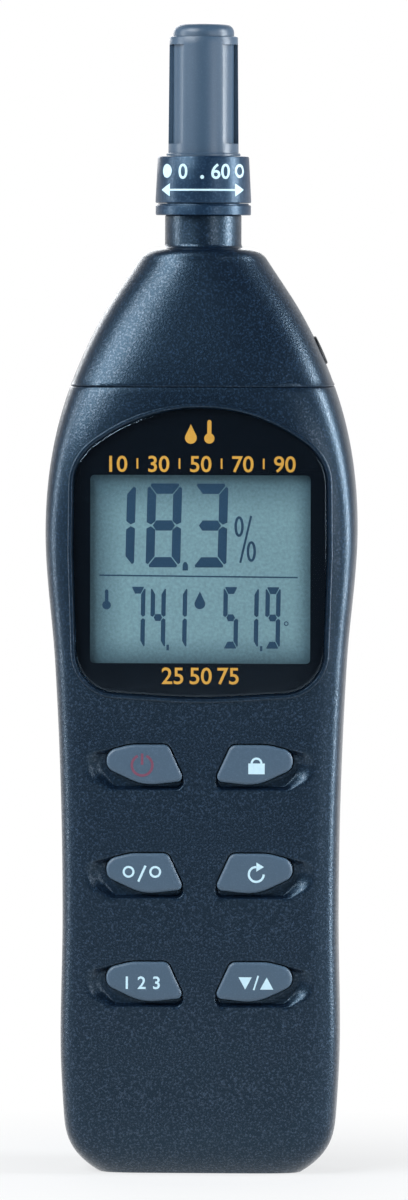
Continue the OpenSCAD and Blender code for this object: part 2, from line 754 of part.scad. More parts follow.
// Probe stack, from the neck up
neck_top = head_z + neck_h;
collar_z = neck_top + ring_h + ring_gap;
sleeve_z = collar_z + collar_h;
sleeve_top = sleeve_z + sleeve_h;
probe_top = sleeve_top + dome_h;
cage_r = cage_d / 2;
guard_r = cage_r + guard_clearance;
barrel_top = neck_top + ring_h + barrel_h;
barrel_bore_r = barrel_d / 2 + guard_clearance;
friction_z = barrel_top + friction_cord / 2 + 0.1;
cage_foot = neck_top + ring_h;
window_z0 = sleeve_z + window_foot;
window_z1 = sleeve_top - window_rim;
stop_r0 = barrel_d / 2 - 0.5;
stop_r1 = barrel_d / 2 + 1.3;
stop_h = 1.1;
stop_arc = 10;
stop_angle = 90;

module probe_base() color(guard_colour) {
    slot = 5.2;
    difference() {
        union() {
            translate([0, 0, head_z - 9]) cylinder(d = neck_bore - 0.06, h = 9 + neck_h);
            translate([0, 0, neck_top]) rotate_extrude() polygon([
                [0, 0], [ring_d / 2 - 0.15, 0], [ring_d / 2, 0.15],
                [ring_d / 2, ring_h - 0.2], [ring_d / 2 - 0.2, ring_h], [0, ring_h]]);
            translate([0, 0, neck_top + 0.5]) cylinder(d = barrel_d, h = barrel_top - neck_top - 0.5);
            sector(stop_r0, stop_r1, neck_top + ring_h - 0.5,
                neck_top + ring_h + stop_h, stop_angle, stop_arc);
            translate([0, 0, head_z - 10.2]) cylinder(d = neck_bore + 2.6, h = 1.2);
        }
        translate([0, 0, head_z - 11]) cylinder(d = 8.4, h = neck_top - head_z + 9.4);
        translate([0, 0, cage_foot]) cylinder(r = cage_r + 0.02, h = barrel_h + 1);
        block(-slot / 2, slot / 2, -0.5, 0.5, head_z, cage_foot + 1);
    }
}

module sensor_cage() color(guard_colour) {
    in_r = cage_r - cage_wall;
    rib = 1.2;
    middle = (window_z0 + window_z1) / 2;
    difference() {
        rotate_extrude() polygon(concat(
            [[0, cage_foot], [cage_r, cage_foot]],
            [for (a = [0:15:90])
                [cage_r - dome_round + dome_round * cos(a),
                 probe_top - dome_round + dome_round * sin(a)]],
            [[0, probe_top]]));
        translate([0, 0, cage_foot - 1]) cylinder(r = in_r, h = window_z1 - cage_foot + 2);
        for (a = [30, 150, 270]) {
            sector(in_r - 1, cage_r + 1, window_z0, middle - rib / 2, a, window_arc);
            sector(in_r - 1, cage_r + 1, middle + rib / 2, window_z1, a, window_arc);
        }
    }
}

module guard_sleeve() color(guard_colour) {
    cut_top = friction_z + friction_cord / 2 + 0.35;
    difference() {
        rotate_extrude() polygon([
            [guard_r, cut_top], [barrel_bore_r, cut_top], [barrel_bore_r, collar_z],
            [collar_d / 2 - 0.25, collar_z], [collar_d / 2, collar_z + 0.25],
            [collar_top_d / 2, sleeve_z - 0.45], [collar_top_d / 2 - 0.45, sleeve_z],
            [sleeve_d / 2 + 0.35, sleeve_z], [sleeve_d / 2 + 0.35, sleeve_z + 0.5],
            [sleeve_d / 2, sleeve_z + 0.8], [sleeve_top_d / 2, sleeve_top - 0.25],
            [sleeve_top_d / 2 - 0.25, sleeve_top], [guard_r, sleeve_top]]);
        for (a = [90, 210, 330])
            sector(guard_r - 1, sleeve_d, window_z0, window_z1, a, window_arc);
        sector(stop_r0, stop_r1 + 0.2, collar_z - 1,
            neck_top + ring_h + stop_h + 0.25, stop_angle - guard_turn / 2,
            guard_turn + stop_arc + 2);
    }
}

module friction_ring() color(rubber_colour) {
    cord_r = friction_cord / 2;
    translate([0, 0, friction_z]) rotate_extrude()
        translate([cage_r + 0.03 + cord_r, 0]) circle(r = cord_r, $fn = 24);
}

board_w = 4.8;
sensor_board_t = 0.8;
sensor_top = window_z1 - 1.7;
sensor_foot = head_z - 5;
element_w = 4.6;
element_h = 6.4;
element_t = 1.6;
bead_r = 0.8;
bead_lead_r = 0.17;
bead_lead_l = 4;
module sensor_board() color(board_colour) {
    block(-board_w / 2, board_w / 2, -sensor_board_t / 2, sensor_board_t / 2,
        sensor_foot, sensor_top);
}
// The humidity element: a vented cap on the front of the sensor board
module humidity_sensor() color("#d8d6cc") {
    z = (window_z0 + window_z1) / 2 + 1;
    y = -sensor_board_t / 2;
    vent_pitch = element_h / 5;
    difference() {
        block(-element_w / 2, element_w / 2, y - element_t, y, z, z + element_h);
        for (x = [-1, 0, 1] * element_w / 4, k = [1:4])
            bar_y(x, z + k * vent_pitch, vent_pitch * 0.28, y - element_t - 1,
                y - element_t + 0.5);
    }
}
module thermistor_bead() color("#2a2320") {
    y = sensor_board_t / 2 + bead_lead_r;
    translate([0, y, sensor_top + bead_r + 0.05]) sphere(r = bead_r, $fn = 32);
    for (x = [-0.5, 0.5] * bead_r)
        translate([x, y, sensor_top - bead_lead_l]) cylinder(
            r = bead_lead_r, h = bead_lead_l + bead_r * 0.6, $fn = 24);
}
// Flat lead from the sensor board down to the main board
lead_t = 0.5;
lead_board_z = seam_z - 8;
module sensor_lead() color("#8f959b") {
    path = [
        [sensor_board_t / 2, sensor_foot + 3.5], [sensor_board_t / 2, sensor_foot - 6],
        [-2.5, sensor_foot - 14],
        [chip_y + 1, lead_board_z + 4], [chip_y, lead_board_z + 2], [chip_y, lead_board_z]];
    translate([-board_w / 2, 0, 0]) rotate([90, 0, 90]) linear_extrude(board_w)
        polygon(concat(path, [for (i = [len(path) - 1:-1:0]) path[i] + [lead_t, 0]]));
}

module display_lens() color(lens_colour) {
    bevel = 0.35;
    loft([
        ring_at(LENS, lens_back), ring_at(LENS, lens_front + bevel),
        ring_at(grow(LENS, -bevel), lens_front)]);
}
module lens_mask() color("#07090b") {
    difference() {
        slab(grow(LENS, -0.15), lens_back, mask_back);
        window_cut(0, lens_back - 1, mask_back + 1);
    }
}
module lcd_glass() color("#8a9a9c") {
    low = window_z - cell_h / 2;
    half_t = cell_t / 2;
    block(-cell_w / 2, cell_w / 2, cell_front, cell_front + half_t, low, low + cell_h - 2.2);
    block(-cell_w / 2, cell_w / 2, cell_front + half_t, cell_back, low, low + cell_h);
}
module lcd_reflector() color("#c3c9c6") {
    block(-cell_w / 2 + 1.5, cell_w / 2 - 1.5, cell_back, cell_back + 0.3,
        window_z - cell_h / 2 + 3.4, window_z + cell_h / 2 - 3.4);
}
// The frame's corners are relieved to clear the case
module lcd_frame() color("#d9dadb") {
    w = cell_w + 2 * frame_t + 0.2;
    h = cell_h + 2 * frame_t + 0.2;
    difference() {
        intersection() {
            slab(at(box_outline(w, h, 1), 0, window_z), cell_front, board_front);
            front_room(frame_clearance);
        }
        block(-cell_w / 2 - 0.1, cell_w / 2 + 0.1, cell_front - 1, cell_back + 0.01,
            window_z - cell_h / 2 - 0.1, window_z + cell_h / 2 + 0.1);
        block(-cell_w / 2 + 1.4, cell_w / 2 - 1.4, cell_front - 1, board_front + 1,
            window_z - cell_h / 2 + 0.6, window_z + cell_h / 2 - 0.6);
    }
}
module zebra_strips() color("#3a3d40") {
    for (side = [-1, 1])
        block(-cell_w / 2 + 2, cell_w / 2 - 2, cell_back, board_front,
            window_z + side * (cell_h / 2 - 2) - 1, window_z + side * (cell_h / 2 - 2) + 1);
}

// A key: a cap with a rounded front edge, and a flange that keeps it in
module key(side, row) color(key_colour) {
    outline = at(handed(KEY, side), side * key_x, row_z(row));
    top = key_plane(row_z(row)) - key_proud;
    loft([
        ring_at(outline, flange_front), ring_at(outline, top + 0.55),
        ring_at(grow(outline, -0.12), top + 0.25), ring_at(grow(outline, -0.35), top + 0.07),
        ring_at(grow(outline, -0.75), top)]);
    slab(grow(outline, 0.9), flange_front, key_back);
}
module power_key() key(-1, 0);
module unit_key() key(-1, 1);
module mode_key() key(-1, 2);
module hold_key() key(1, 0);
module reset_key() key(1, 1);
module minmax_key() key(1, 2);

module keypad_mat() color("#5a5f63") {
    low = row_z(2) - key_h / 2 - mat_margin;
    high = row_z(0) + key_h / 2 + mat_margin;
    width = 2 * key_x + key_w - mat_margin;
    slab(at(box_outline(width, high - low, 2 * mat_margin), 0, (high + low) / 2),
        board_front - mat_t, board_front);
    for (side = [-1, 1], row = [0:2])
        bar_y(side * key_x, row_z(row), pill_r, board_front - mat_t - mat_dome,
            board_front - mat_t / 2);
}

module main_board() color(board_colour) {
    right = [
        [board_narrow, board_low], [board_narrow, board_waist - board_slope],
        [board_wide, board_waist], [board_wide, board_shoulder],
        [board_wide - board_chamfer, board_high]];
    difference() {
        slab(concat(right, mirrored(right)), board_front, board_front + board_t);
        for (s = BOARD_SCREWS)
            bar_y(s[0], s[1], board_screw_r + 0.3, board_front - 1, board_front + 3);
    }
}
chip_y = board_front + board_t;
chip_w = 12;
chip_t = 1.5;
chip_drop = 6.7;
chip_z = row_z(0) - chip_drop;
module processor_chip() color("#1a1c1e") {
    outline = at(box_outline(chip_w, chip_w, chip_w / 20), 0, chip_z);
    slab(outline, chip_y, chip_y + chip_t);
}
crystal_r = 1;
crystal_l = 6;
crystal_x = chip_w * 0.75;
crystal_up = 14;
crystal_z = chip_z + crystal_up;
lead_r = 0.15;
module clock_crystal() color(metal_colour) {
    translate([crystal_x, chip_y + crystal_r, crystal_z]) cylinder(r = crystal_r, h = crystal_l);
    for (x = [-0.4, 0.4] * crystal_r)
        translate([crystal_x + x, chip_y + crystal_r * 0.75, crystal_z - 2 * crystal_r])
            cylinder(r = lead_r, h = 2 * crystal_r + 0.1, $fn = 24);
}
// Resistors in two columns beside the processor, and two round capacitors above it
resistor_l = 2;
resistor_w = 1.2;
resistor_t = 0.8;
resistor_pitch = 4;
resistor_gap = 6;
resistor_in = chip_w / 2 + resistor_gap;
capacitor_r = 2.5;
capacitor_h = 5.4;
capacitor_up = 6.2;
capacitor_z = lens_z + capacitor_up;
capacitor_x = 10;
module board_components() color("#c9b88a") {
    for (side = [-1, 1], k = [0:3])
        translate([side * (resistor_in + resistor_l / 2), chip_y,
            chip_z + (k - 2) * resistor_pitch])
            translate([-resistor_l / 2, 0, 0]) cube([resistor_l, resistor_t, resistor_w]);
    for (share = [1, 0.85])
        translate([share < 1 ? -capacitor_x * 0.3 : -capacitor_x, chip_y, capacitor_z])
            rotate([-90, 0, 0]) cylinder(r = capacitor_r * share, h = capacitor_h * share);
}

// A pan-head screw along Y with its head at the back, driven by a cross recess
module screw(x, z, head_y, head_r, head_h, r, l) {
    difference() {
        union() {
            bar_y(x, z, head_r, head_y, head_y + head_h);
            bar_y(x, z, r, head_y - l, head_y + 0.01);
        }
        for (turn = [0, 90])
            translate([x, head_y + head_h, z]) rotate([0, turn, 0])
                cube([head_r * 1.2, 1.1, head_r * 0.28], center = true);
    }
}
module board_screws() color(metal_colour) {
    for (s = BOARD_SCREWS)
        screw(s[0], s[1], chip_y, board_screw_head_r, board_screw_head_h, board_screw_r,
            board_t + board_screw_grip);
}
module case_screws() color(metal_colour) {
    for (s = CASE_SCREWS)
        screw(s[0], s[1], screw_seat, screw_head_r, screw_head_h, screw_r - 0.2, screw_l);
}
module head_screws() color(metal_colour) {
    for (side = [-1, 1])
        screw(side * lug_x, head_screw_z, head_seat, head_screw_head_r, head_screw_head_h,
            head_screw_r, head_seat - lug_back + lug_t - 0.5);
}

// Door of the battery bay: a patch of the skin with tabs below and a snap tongue
DOOR_LEVELS = [for (i = [0:10]) door_z - 2 + (door_h + 4) * i / 10];
module battery_door() color(case_colour) {
    top = door_z + door_h;
    difference() {
        union() {
            difference() {
                intersection() {
                    loft([for (z = DOOR_LEVELS) half_section(z, 0, BACK, skin_steps, 0)]);
                    slab(DOOR, door_rest + 0.1, back_hip_d + 4);
                }
                loft([for (z = DOOR_LEVELS)
                    half_section(z + (z < door_z ? -1 : z > top ? 1 : 0), door_t, BACK,
                        skin_steps, 1)]);
            }
            for (k = [0:4])
                block(-5, 5, depth(top - 3, BACK) - 0.5, depth(top - 3, BACK) + 0.35,
                    top - 2.2 - 1.5 * k, top - 1.5 - 1.5 * k);
            for (side = [-1, 1])
                block(side * tab_x - tab_w / 2, side * tab_x + tab_w / 2,
                    hinge_y - 3.5, hinge_y - 2.45, door_z - tab_l, door_z + 1.4);
            for (side = [-1, 1])
                block(side * tab_x - tab_w / 2, side * tab_x + tab_w / 2,
                    hinge_y - 3.5, hinge_y - 1.2, door_z + 0.3, door_z + 0.62);
        }
        for (side = [-1, 1])
            block(side * latch_w / 2 - latch_slot / 2, side * latch_w / 2 + latch_slot / 2,
                door_rest - 1, back_hip_d + 4, top - latch_l, top + 1);
    }
}

// Cells stand alternately cap up and cap down; the cap's end rests on a plate and
// the flat end on a spring
function battery_x(k) = (k - 2.5) * (battery_d + battery_gap);
function cap_up(k) = k % 2 == 1;
module battery_cell(k) color("#b8873a") {
    r = battery_d / 2;
    middle = (bay_z + bay_top) / 2;
    translate([battery_x(k), battery_y, middle]) mirror([0, 0, cap_up(k) ? 0 : 1])
        translate([0, 0, bay_top - plate_t - plate_gap - cap_l - battery_l - middle])
            rotate_extrude() polygon([
                [0, 0], [r - 0.6, 0], [r - 0.2, 0.3], [r, 0.8], [r, battery_l - 0.8],
                [r - 0.3, battery_l - 0.2], [r - 1, battery_l], [1.9, battery_l],
                [1.9, battery_l + cap_l], [0, battery_l + cap_l]]);
}
module battery_cell_1() battery_cell(1);
module battery_cell_2() battery_cell(2);
module battery_cell_3() battery_cell(3);
module battery_cell_4() battery_cell(4);

// Contact plates from cell a to cell b, at the height z
module plate(a, b, z) {
    half = 3.4;
    block(battery_x(a) - half, battery_x(b) + half, bay_floor + 0.05,
        battery_y + half, z, z + plate_t);
}
module battery_plates() color(metal_colour) {
    plate(1, 2, bay_z);
    plate(3, 4, bay_z);
    plate(1, 1, bay_top - plate_t);
    plate(2, 3, bay_top - plate_t);
    plate(4, 4, bay_top - plate_t);
}
// A hollow cone takes the room of each conical contact spring
spring_r = 3.1;
spring_tip_r = 2.1;
spring_wall = 0.6;
module battery_springs() color(metal_colour) {
    for (k = [1:4]) {
        h = spring_l - plate_gap;
        r = spring_r;
        tip = spring_tip_r;
        z = cap_up(k) ? bay_z + plate_t : bay_top - plate_t;
        translate([battery_x(k), battery_y, z]) mirror([0, 0, cap_up(k) ? 0 : 1])
            rotate_extrude() polygon([
                [r - spring_wall, 0], [r, 0], [tip, h], [tip - spring_wall, h]]);
    }
}
// Two leads from the bay's upper end to the back of the board
module battery_leads() color("#a3322b") {
    z = bay_top + bay_wall + 1.2;
    y = bay_floor + 0.7;
    for (x = [battery_x(1), battery_x(4)]) {
        bar_y(x, z, 0.6, chip_y, y);
        translate([x, y, z]) sphere(r = 0.6, $fn = 24);
        translate([x, y, bay_top + 0.02]) cylinder(r = 0.6, h = z - bay_top - 0.02);
    }
}

front_case();
rear_case();
head_shell();
probe_base();
sensor_cage();
guard_sleeve();
friction_ring();
sensor_board();
humidity_sensor();
thermistor_bead();
sensor_lead();
port_plug();
port_socket();
display_lens();
lens_mask();
lcd_glass();
lcd_reflector();
lcd_frame();
zebra_strips();
power_key();
unit_key();
mode_key();
hold_key();
reset_key();
minmax_key();
keypad_mat();
main_board();
processor_chip();
clock_crystal();
board_components();
board_screws();
battery_door();
battery_cell_1();
battery_cell_2();
battery_cell_3();
battery_cell_4();
battery_springs();
battery_plates();
battery_leads();
case_screws();
head_screws();
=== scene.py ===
# %% [markdown]
# # A hand-held digital psychrometer
#
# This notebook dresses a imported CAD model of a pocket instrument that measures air
# temperature and humidity. The CAD model gives every part its place, and the parts
# that can be seen are modelled again here with the roundings, prints and surfaces
# that a camera picks up. Each step has a short text on what the piece is on the real
# object, how it could be made, and why this way was chosen.
#
# The frame is upright: +Z is up, the front faces -Y, and Blender works in metres.
# The sizes below are written in millimetres and multiplied by MM.

import math

import bpy
from mathutils import Matrix, Vector


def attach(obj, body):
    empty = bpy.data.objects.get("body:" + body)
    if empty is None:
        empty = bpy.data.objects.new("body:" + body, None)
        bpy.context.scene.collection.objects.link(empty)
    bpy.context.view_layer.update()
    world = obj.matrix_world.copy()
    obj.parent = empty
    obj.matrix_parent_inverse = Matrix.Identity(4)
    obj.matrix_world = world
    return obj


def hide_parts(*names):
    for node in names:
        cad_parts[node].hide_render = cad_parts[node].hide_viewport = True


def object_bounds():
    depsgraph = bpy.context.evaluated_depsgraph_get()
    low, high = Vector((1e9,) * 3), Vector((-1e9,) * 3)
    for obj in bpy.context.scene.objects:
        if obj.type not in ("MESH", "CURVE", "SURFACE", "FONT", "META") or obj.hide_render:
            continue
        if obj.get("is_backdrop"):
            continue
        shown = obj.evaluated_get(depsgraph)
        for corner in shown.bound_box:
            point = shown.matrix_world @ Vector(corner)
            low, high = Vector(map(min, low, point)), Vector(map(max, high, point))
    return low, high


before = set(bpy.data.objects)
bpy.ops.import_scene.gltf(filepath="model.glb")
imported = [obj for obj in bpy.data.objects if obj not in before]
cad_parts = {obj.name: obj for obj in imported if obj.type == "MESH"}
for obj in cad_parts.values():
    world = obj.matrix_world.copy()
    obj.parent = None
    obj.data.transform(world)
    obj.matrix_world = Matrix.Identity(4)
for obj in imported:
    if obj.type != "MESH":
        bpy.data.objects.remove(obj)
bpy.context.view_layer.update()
scene = bpy.context.scene
MM = 0.001

# %% [markdown]
# ## Small helpers
#
# Colours are written as sRGB hex values, the way a paint shop would name them, and
# turned to the linear values that Blender's shaders expect. Shader trees are built
# with one function that adds a node and fills its inputs, and with a few short ones
# for the nodes that most materials need. The last helpers wrap the steps that every
# modelled piece needs: start with nothing selected, apply a modifier, and hand the
# finished piece to its body.


# %% Colour and shader helpers
def hex_colour(text):
    channels = [int(text[i : i + 2], 16) / 255 for i in (1, 3, 5)]
    linear = [c / 12.92 if c <= 0.04045 else ((c + 0.055) / 1.055) ** 2.4 for c in channels]
    return (*linear, 1.0)


def fill_inputs(node, values):
    """Sets inputs by name or number to a constant or to a node's output, or a property."""
    for key, value in values.items():
        if isinstance(value, bpy.types.NodeSocket):
            node.id_data.links.new(value, node.inputs[key])
        elif isinstance(key, int) or key in node.inputs:
            node.inputs[key].default_value = value
        else:
            setattr(node, key, value)


def add_node(tree, kind, values=None):
    node = tree.nodes.new(kind)
    fill_inputs(node, values or {})
    return node


def noise(tree, coords, size_mm, detail=2.0, **values):
    """Noise whose grains have this size on an object in metres."""
    values = {"Scale": 1 / (size_mm * MM), "Detail": detail, "Vector": coords, **values}
    return add_node(tree, "ShaderNodeTexNoise", values).outputs["Fac"]


def ramp(tree, source, start, end, low=0.0, high=1.0, **values):
    """Carries the range from start to end over to the range from low to high."""
    limits = {0: source, "From Min": start, "From Max": end, "To Min": low, "To Max": high}
    return add_node(tree, "ShaderNodeMapRange", {**values, **limits}).outputs[0]


def maths(tree, operation, *terms):
    values = {"operation": operation, **dict(enumerate(terms))}
    return add_node(tree, "ShaderNodeMath", values).outputs[0]


def blend(tree, share, first, second):
    values = {"data_type": "RGBA", 0: share, 6: first, 7: second}
    return add_node(tree, "ShaderNodeMix", values).outputs[2]


def tones(tree, share, dark, light):
    return blend(tree, share, hex_colour(dark), hex_colour(light))


def relief(tree, height, depth_mm):
    values = {"Strength": 1.0, "Distance": depth_mm * MM, "Height": height}
    return add_node(tree, "ShaderNodeBump", values).outputs[0]


def node_tree(owner):
    """The cleared shader tree of a material or a world."""
    owner.use_nodes = True
    owner.node_tree.nodes.clear()
    return owner.node_tree


def start_material(name):
    """A new material with its tree, its Principled shader and the Object coordinates."""
    material = bpy.data.materials.new(name)
    tree = node_tree(material)
    shader = add_node(tree, "ShaderNodeBsdfPrincipled")
    add_node(tree, "ShaderNodeOutputMaterial", {"Surface": shader.outputs[0]})
    coords = add_node(tree, "ShaderNodeTexCoord").outputs["Object"]
    return material, tree, shader, coords


# %% Modelling helpers
def pick_only(obj):
    bpy.ops.object.select_all(action="DESELECT")
    obj.select_set(True)
    bpy.context.view_layer.objects.active = obj
    return obj


def apply_modifier(obj, kind, **settings):
    pick_only(obj)
    modifier = obj.modifiers.new(kind.title(), kind)
    for key, value in settings.items():
        setattr(modifier, key, value)
    bpy.ops.object.modifier_apply(modifier=modifier.name)
    return obj


def cut(obj, tool, operation="DIFFERENCE"):
    """Cuts obj with a closed tool, or joins it on, and deletes the tool."""
    apply_modifier(obj, "BOOLEAN", object=tool, operation=operation, solver="EXACT")
    bpy.data.objects.remove(tool)
    return obj


def join(name, parts):
    bpy.ops.object.select_all(action="DESELECT")
    for part in parts:
        part.select_set(True)
    bpy.context.view_layer.objects.active = parts[0]
    if len(parts) > 1:
        bpy.ops.object.join()
    parts[0].name = name
    return parts[0]


def smooth(obj, degrees=38):
    pick_only(obj)
    bpy.ops.object.shade_smooth_by_angle(angle=math.radians(degrees))
    return obj


def finish_piece(obj, name, body, material, nodes=()):
    """Names a piece, dresses it, lets it ride on its body and stand for CAD nodes."""
    pick_only(obj)
    bpy.ops.object.transform_apply(location=True, rotation=True, scale=True)
    obj.name = name
    obj.data.name = name
    obj.data.materials.clear()
    obj.data.materials.append(material)
    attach(obj, body)
    if nodes:
        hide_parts(*nodes)
    print(name, len(obj.data.polygons), "faces")
    return obj


# %% [markdown]
# ## Camera, floor and light
#
# The photograph is a catalogue picture taken with a long lens, almost straight from
# the front, a little from above and from the right, and leaning by a trace. A 245 mm
# lens at 1.6 m gives the same flat perspective. The camera sees the room white, but
# the room hardly lights the object, so that its dark plastic stays dark. Five soft
# boxes do: a large one up at the left in front for the broad highlight on the head, a
# strip at each side for the pale rims of the flanks, a weak one at the right in front
# for the face, and one behind.

# %% Camera at the photograph's angle
VIEW_AZIMUTH = 1.5
VIEW_ELEVATION = 2.6
VIEW_ROLL = 0.16
VIEW_DISTANCE = 1.6
VIEW_TARGET = Vector((0.5, -6, 112.3)) * MM

camera_data = bpy.data.cameras.new("camera")
camera_data.sensor_width = 36
camera_data.lens = 245
camera = bpy.data.objects.new("camera", camera_data)
scene.collection.objects.link(camera)
azimuth = math.radians(VIEW_AZIMUTH)
elevation = math.radians(VIEW_ELEVATION)
towards_camera = Vector((
    math.sin(azimuth) * math.cos(elevation),
    -math.cos(azimuth) * math.cos(elevation),
    math.sin(elevation),
))
camera.location = VIEW_TARGET + towards_camera * VIEW_DISTANCE
turn = (-towards_camera).to_track_quat("-Z", "Y").to_matrix().to_4x4()
camera.rotation_euler = (turn @ Matrix.Rotation(math.radians(VIEW_ROLL), 4, "Z")).to_euler()
camera_data.clip_start = 0.01
scene.camera = camera
print("camera at", [round(c, 3) for c in camera.location])

# %% White surroundings for the camera, a dark room for the light
ROOM_TINT = (0.06, 0.063, 0.069, 1)
CARD_TINT = (0.6, 0.61, 0.62, 1)
WHITE = (1, 1, 1, 1)
scene.view_settings.view_transform = "Standard"
scene.world = bpy.data.worlds.new("studio")
tree = node_tree(scene.world)
rays = add_node(tree, "ShaderNodeLightPath").outputs
# The white backdrop stands behind the object, and the room in front of it is dark, so
# the flanks mirror white and the window mirrors the dark room.
direction = add_node(tree, "ShaderNodeTexCoord").outputs["Generated"]
backwards = add_node(tree, "ShaderNodeSeparateXYZ", {0: direction}).outputs["Y"]
behind = ramp(tree, backwards, 0.1, 0.8, 0.0, 0.7)
mirrored_rays = maths(tree, "MAXIMUM", rays["Is Glossy Ray"], rays["Is Transmission Ray"])
white_share = maths(tree, "MULTIPLY_ADD", behind, mirrored_rays, rays["Is Camera Ray"])
backdrop = blend(tree, white_share, ROOM_TINT, WHITE)
background = add_node(tree, "ShaderNodeBackground", {0: backdrop})
add_node(tree, "ShaderNodeOutputWorld", {0: background.outputs[0]})

# The floor is a white card. Away from the object it shows the camera plain white, so
# that it has no horizon, and close to the object it keeps the shadow. In mirror rays
# it is white near the object and falls off to the grey card towards the camera.
bpy.ops.mesh.primitive_circle_add(vertices=96, radius=12, fill_type="NGON")
floor = bpy.context.object
floor.name = "floor"
floor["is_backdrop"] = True
card = bpy.data.materials.new("white_card")
tree = node_tree(card)
rays = add_node(tree, "ShaderNodeLightPath").outputs
place = add_node(tree, "ShaderNodeNewGeometry").outputs["Position"]
distance = add_node(tree, "ShaderNodeVectorMath", {"operation": "LENGTH", 0: place})
shadow_fade = ramp(tree, distance.outputs["Value"], 0.03, 0.11, 0.7)
towards_back = add_node(tree, "ShaderNodeSeparateXYZ", {0: place}).outputs["Y"]
mirrored_card = maths(
    tree, "MULTIPLY", ramp(tree, towards_back, -0.6, -0.12), rays["Is Glossy Ray"]
)
white_share = maths(tree, "MULTIPLY_ADD", shadow_fade, rays["Is Camera Ray"], mirrored_card)
matt = add_node(tree, "ShaderNodeBsdfDiffuse", {"Color": CARD_TINT}).outputs[0]
glow = add_node(tree, "ShaderNodeEmission", {"Color": WHITE}).outputs[0]
surface = add_node(tree, "ShaderNodeMixShader", {0: white_share, 1: matt, 2: glow})
add_node(tree, "ShaderNodeOutputMaterial", {0: surface.outputs[0]})
floor.data.materials.append(card)
print("dark room with a white backdrop, white card floor")


# %% Soft boxes
def soft_box(name, place_mm, aim_z, width_mm, height_mm, watts, tint="#f4faff"):
    """A rectangular lamp that faces a height on the object's axis."""
    lamp = bpy.data.lights.new(name, "AREA")
    lamp.shape = "RECTANGLE"
    lamp.size = width_mm * MM
    lamp.size_y = height_mm * MM
    lamp.energy = watts
    lamp.color = hex_colour(tint)[:3]
    obj = bpy.data.objects.new(name, lamp)
    scene.collection.objects.link(obj)
    obj.location = Vector(place_mm) * MM
    facing = Vector((0, 0, aim_z)) * MM - obj.location
    obj.rotation_euler = facing.to_track_quat("-Z", "Y").to_euler()


soft_box("upper_left_box", (-430, -400, 545), 140, 500, 400, 6.0)
soft_box("left_strip", (-620, -60, 220), 130, 170, 560, 2.2)
soft_box("right_strip", (620, -60, 240), 130, 170, 620, 7.0)
soft_box("fill_box", (560, -760, 260), 110, 400, 400, 1.6, "#fdfdff")
soft_box("back_box", (-200, 900, 500), 110, 700, 500, 4, "#ffffff")
print("five soft boxes")

# %% [markdown]
# ## Materials
#
# The case is ABS moulded in a spark-eroded tool, which leaves a grain of one or two
# tenths of a millimetre. That is too fine to show in the render, so it is drawn at
# 0.4 mm. One noise of that size drives a small bump, a lighter tone on the grain's
# tops and a coat that is stronger there, as handling polishes the tops, and together
# they break the highlights up into points. A coarse noise varies the roughness a
# little. The keys and the sleeve come from smoother tools and have no coat, and the
# finish of the fixed ring and the collar lies between the two.


# %% Moulded plastics
def moulded_plastic(
    name, base, light, grain_mm, bump_mm, roughness, spread, tint="#ffffff", coat=0.0
):
    """Moulded plastic with a light tone and, where it has a coat, polish on its tops."""
    material, tree, shader, coords = start_material(name)
    grain = noise(tree, coords, grain_mm, Roughness=0.6)
    cloud = noise(tree, coords, 18, 3.0)
    bump = relief(tree, grain, bump_mm)
    fill_inputs(shader, {
        "Base Color": tones(tree, ramp(tree, grain, 0.5, 0.72), base, light),
        "Roughness": ramp(tree, cloud, 0.3, 0.7, roughness - spread, roughness + spread),
        "Normal": bump,
        "IOR": 1.53,
        "Specular Tint": hex_colour(tint),
    })
    if coat:
        fill_inputs(shader, {
            "Coat Weight": ramp(tree, grain, 0.48, 0.66, coat * 0.4, coat * 2.6),
            "Coat Roughness": 0.22,
            "Coat Normal": bump,
        })
    return material


eroded_abs = moulded_plastic(
    "spark_eroded_abs", "#060f1c", "#1a2f46", 0.4, 0.042, 0.37, 0.03, "#a2d8ff", 0.3
)
collar_abs = moulded_plastic(
    "eroded_collar_abs", "#0f2136", "#263d55", 0.38, 0.025, 0.38, 0.03, "#a8daff", 0.15
)
probe_abs = moulded_plastic("satin_probe_abs", "#3a4f63", "#42576b", 0.3, 0.012, 0.36, 0.03)
key_abs = moulded_plastic("matt_key_abs", "#405669", "#4a6074", 0.3, 0.015, 0.44, 0.03)
black_rubber = moulded_plastic("black_rubber", "#14181c", "#1d2226", 0.3, 0.02, 0.62, 0.05)
print("five moulded finishes")

# %% [markdown]
# The display window is a clear acrylic plate, printed black from behind. Real glass
# shaders are slow and noisy on such a thin plate, so it is a mix: transparent, with
# a mirror coat that grows towards grazing angles by Fresnel's law. Inks are flat
# colours with a trace of mottling, as silk-screen printing gives.


# %% Acrylic and inks
def clear_acrylic():
    material, tree, shader, _ = start_material("clear_acrylic")
    tree.nodes.remove(shader)
    fresnel = add_node(tree, "ShaderNodeFresnel", {"IOR": 1.49}).outputs[0]
    from_inside = add_node(tree, "ShaderNodeNewGeometry").outputs["Backfacing"]
    share = maths(tree, "MULTIPLY", fresnel, maths(tree, "SUBTRACT", 1.0, from_inside))
    clear = add_node(tree, "ShaderNodeBsdfTransparent", {"Color": (0.93, 0.95, 0.96, 1)})
    gloss = add_node(
        tree, "ShaderNodeBsdfGlossy", {"Color": (0.6, 0.8, 1.0, 1), "Roughness": 0.03}
    )
    surface = add_node(
        tree, "ShaderNodeMixShader", {0: share, 1: clear.outputs[0], 2: gloss.outputs[0]}
    )
    output = next(node for node in tree.nodes if node.type == "OUTPUT_MATERIAL")
    fill_inputs(output, {"Surface": surface.outputs[0]})
    return material


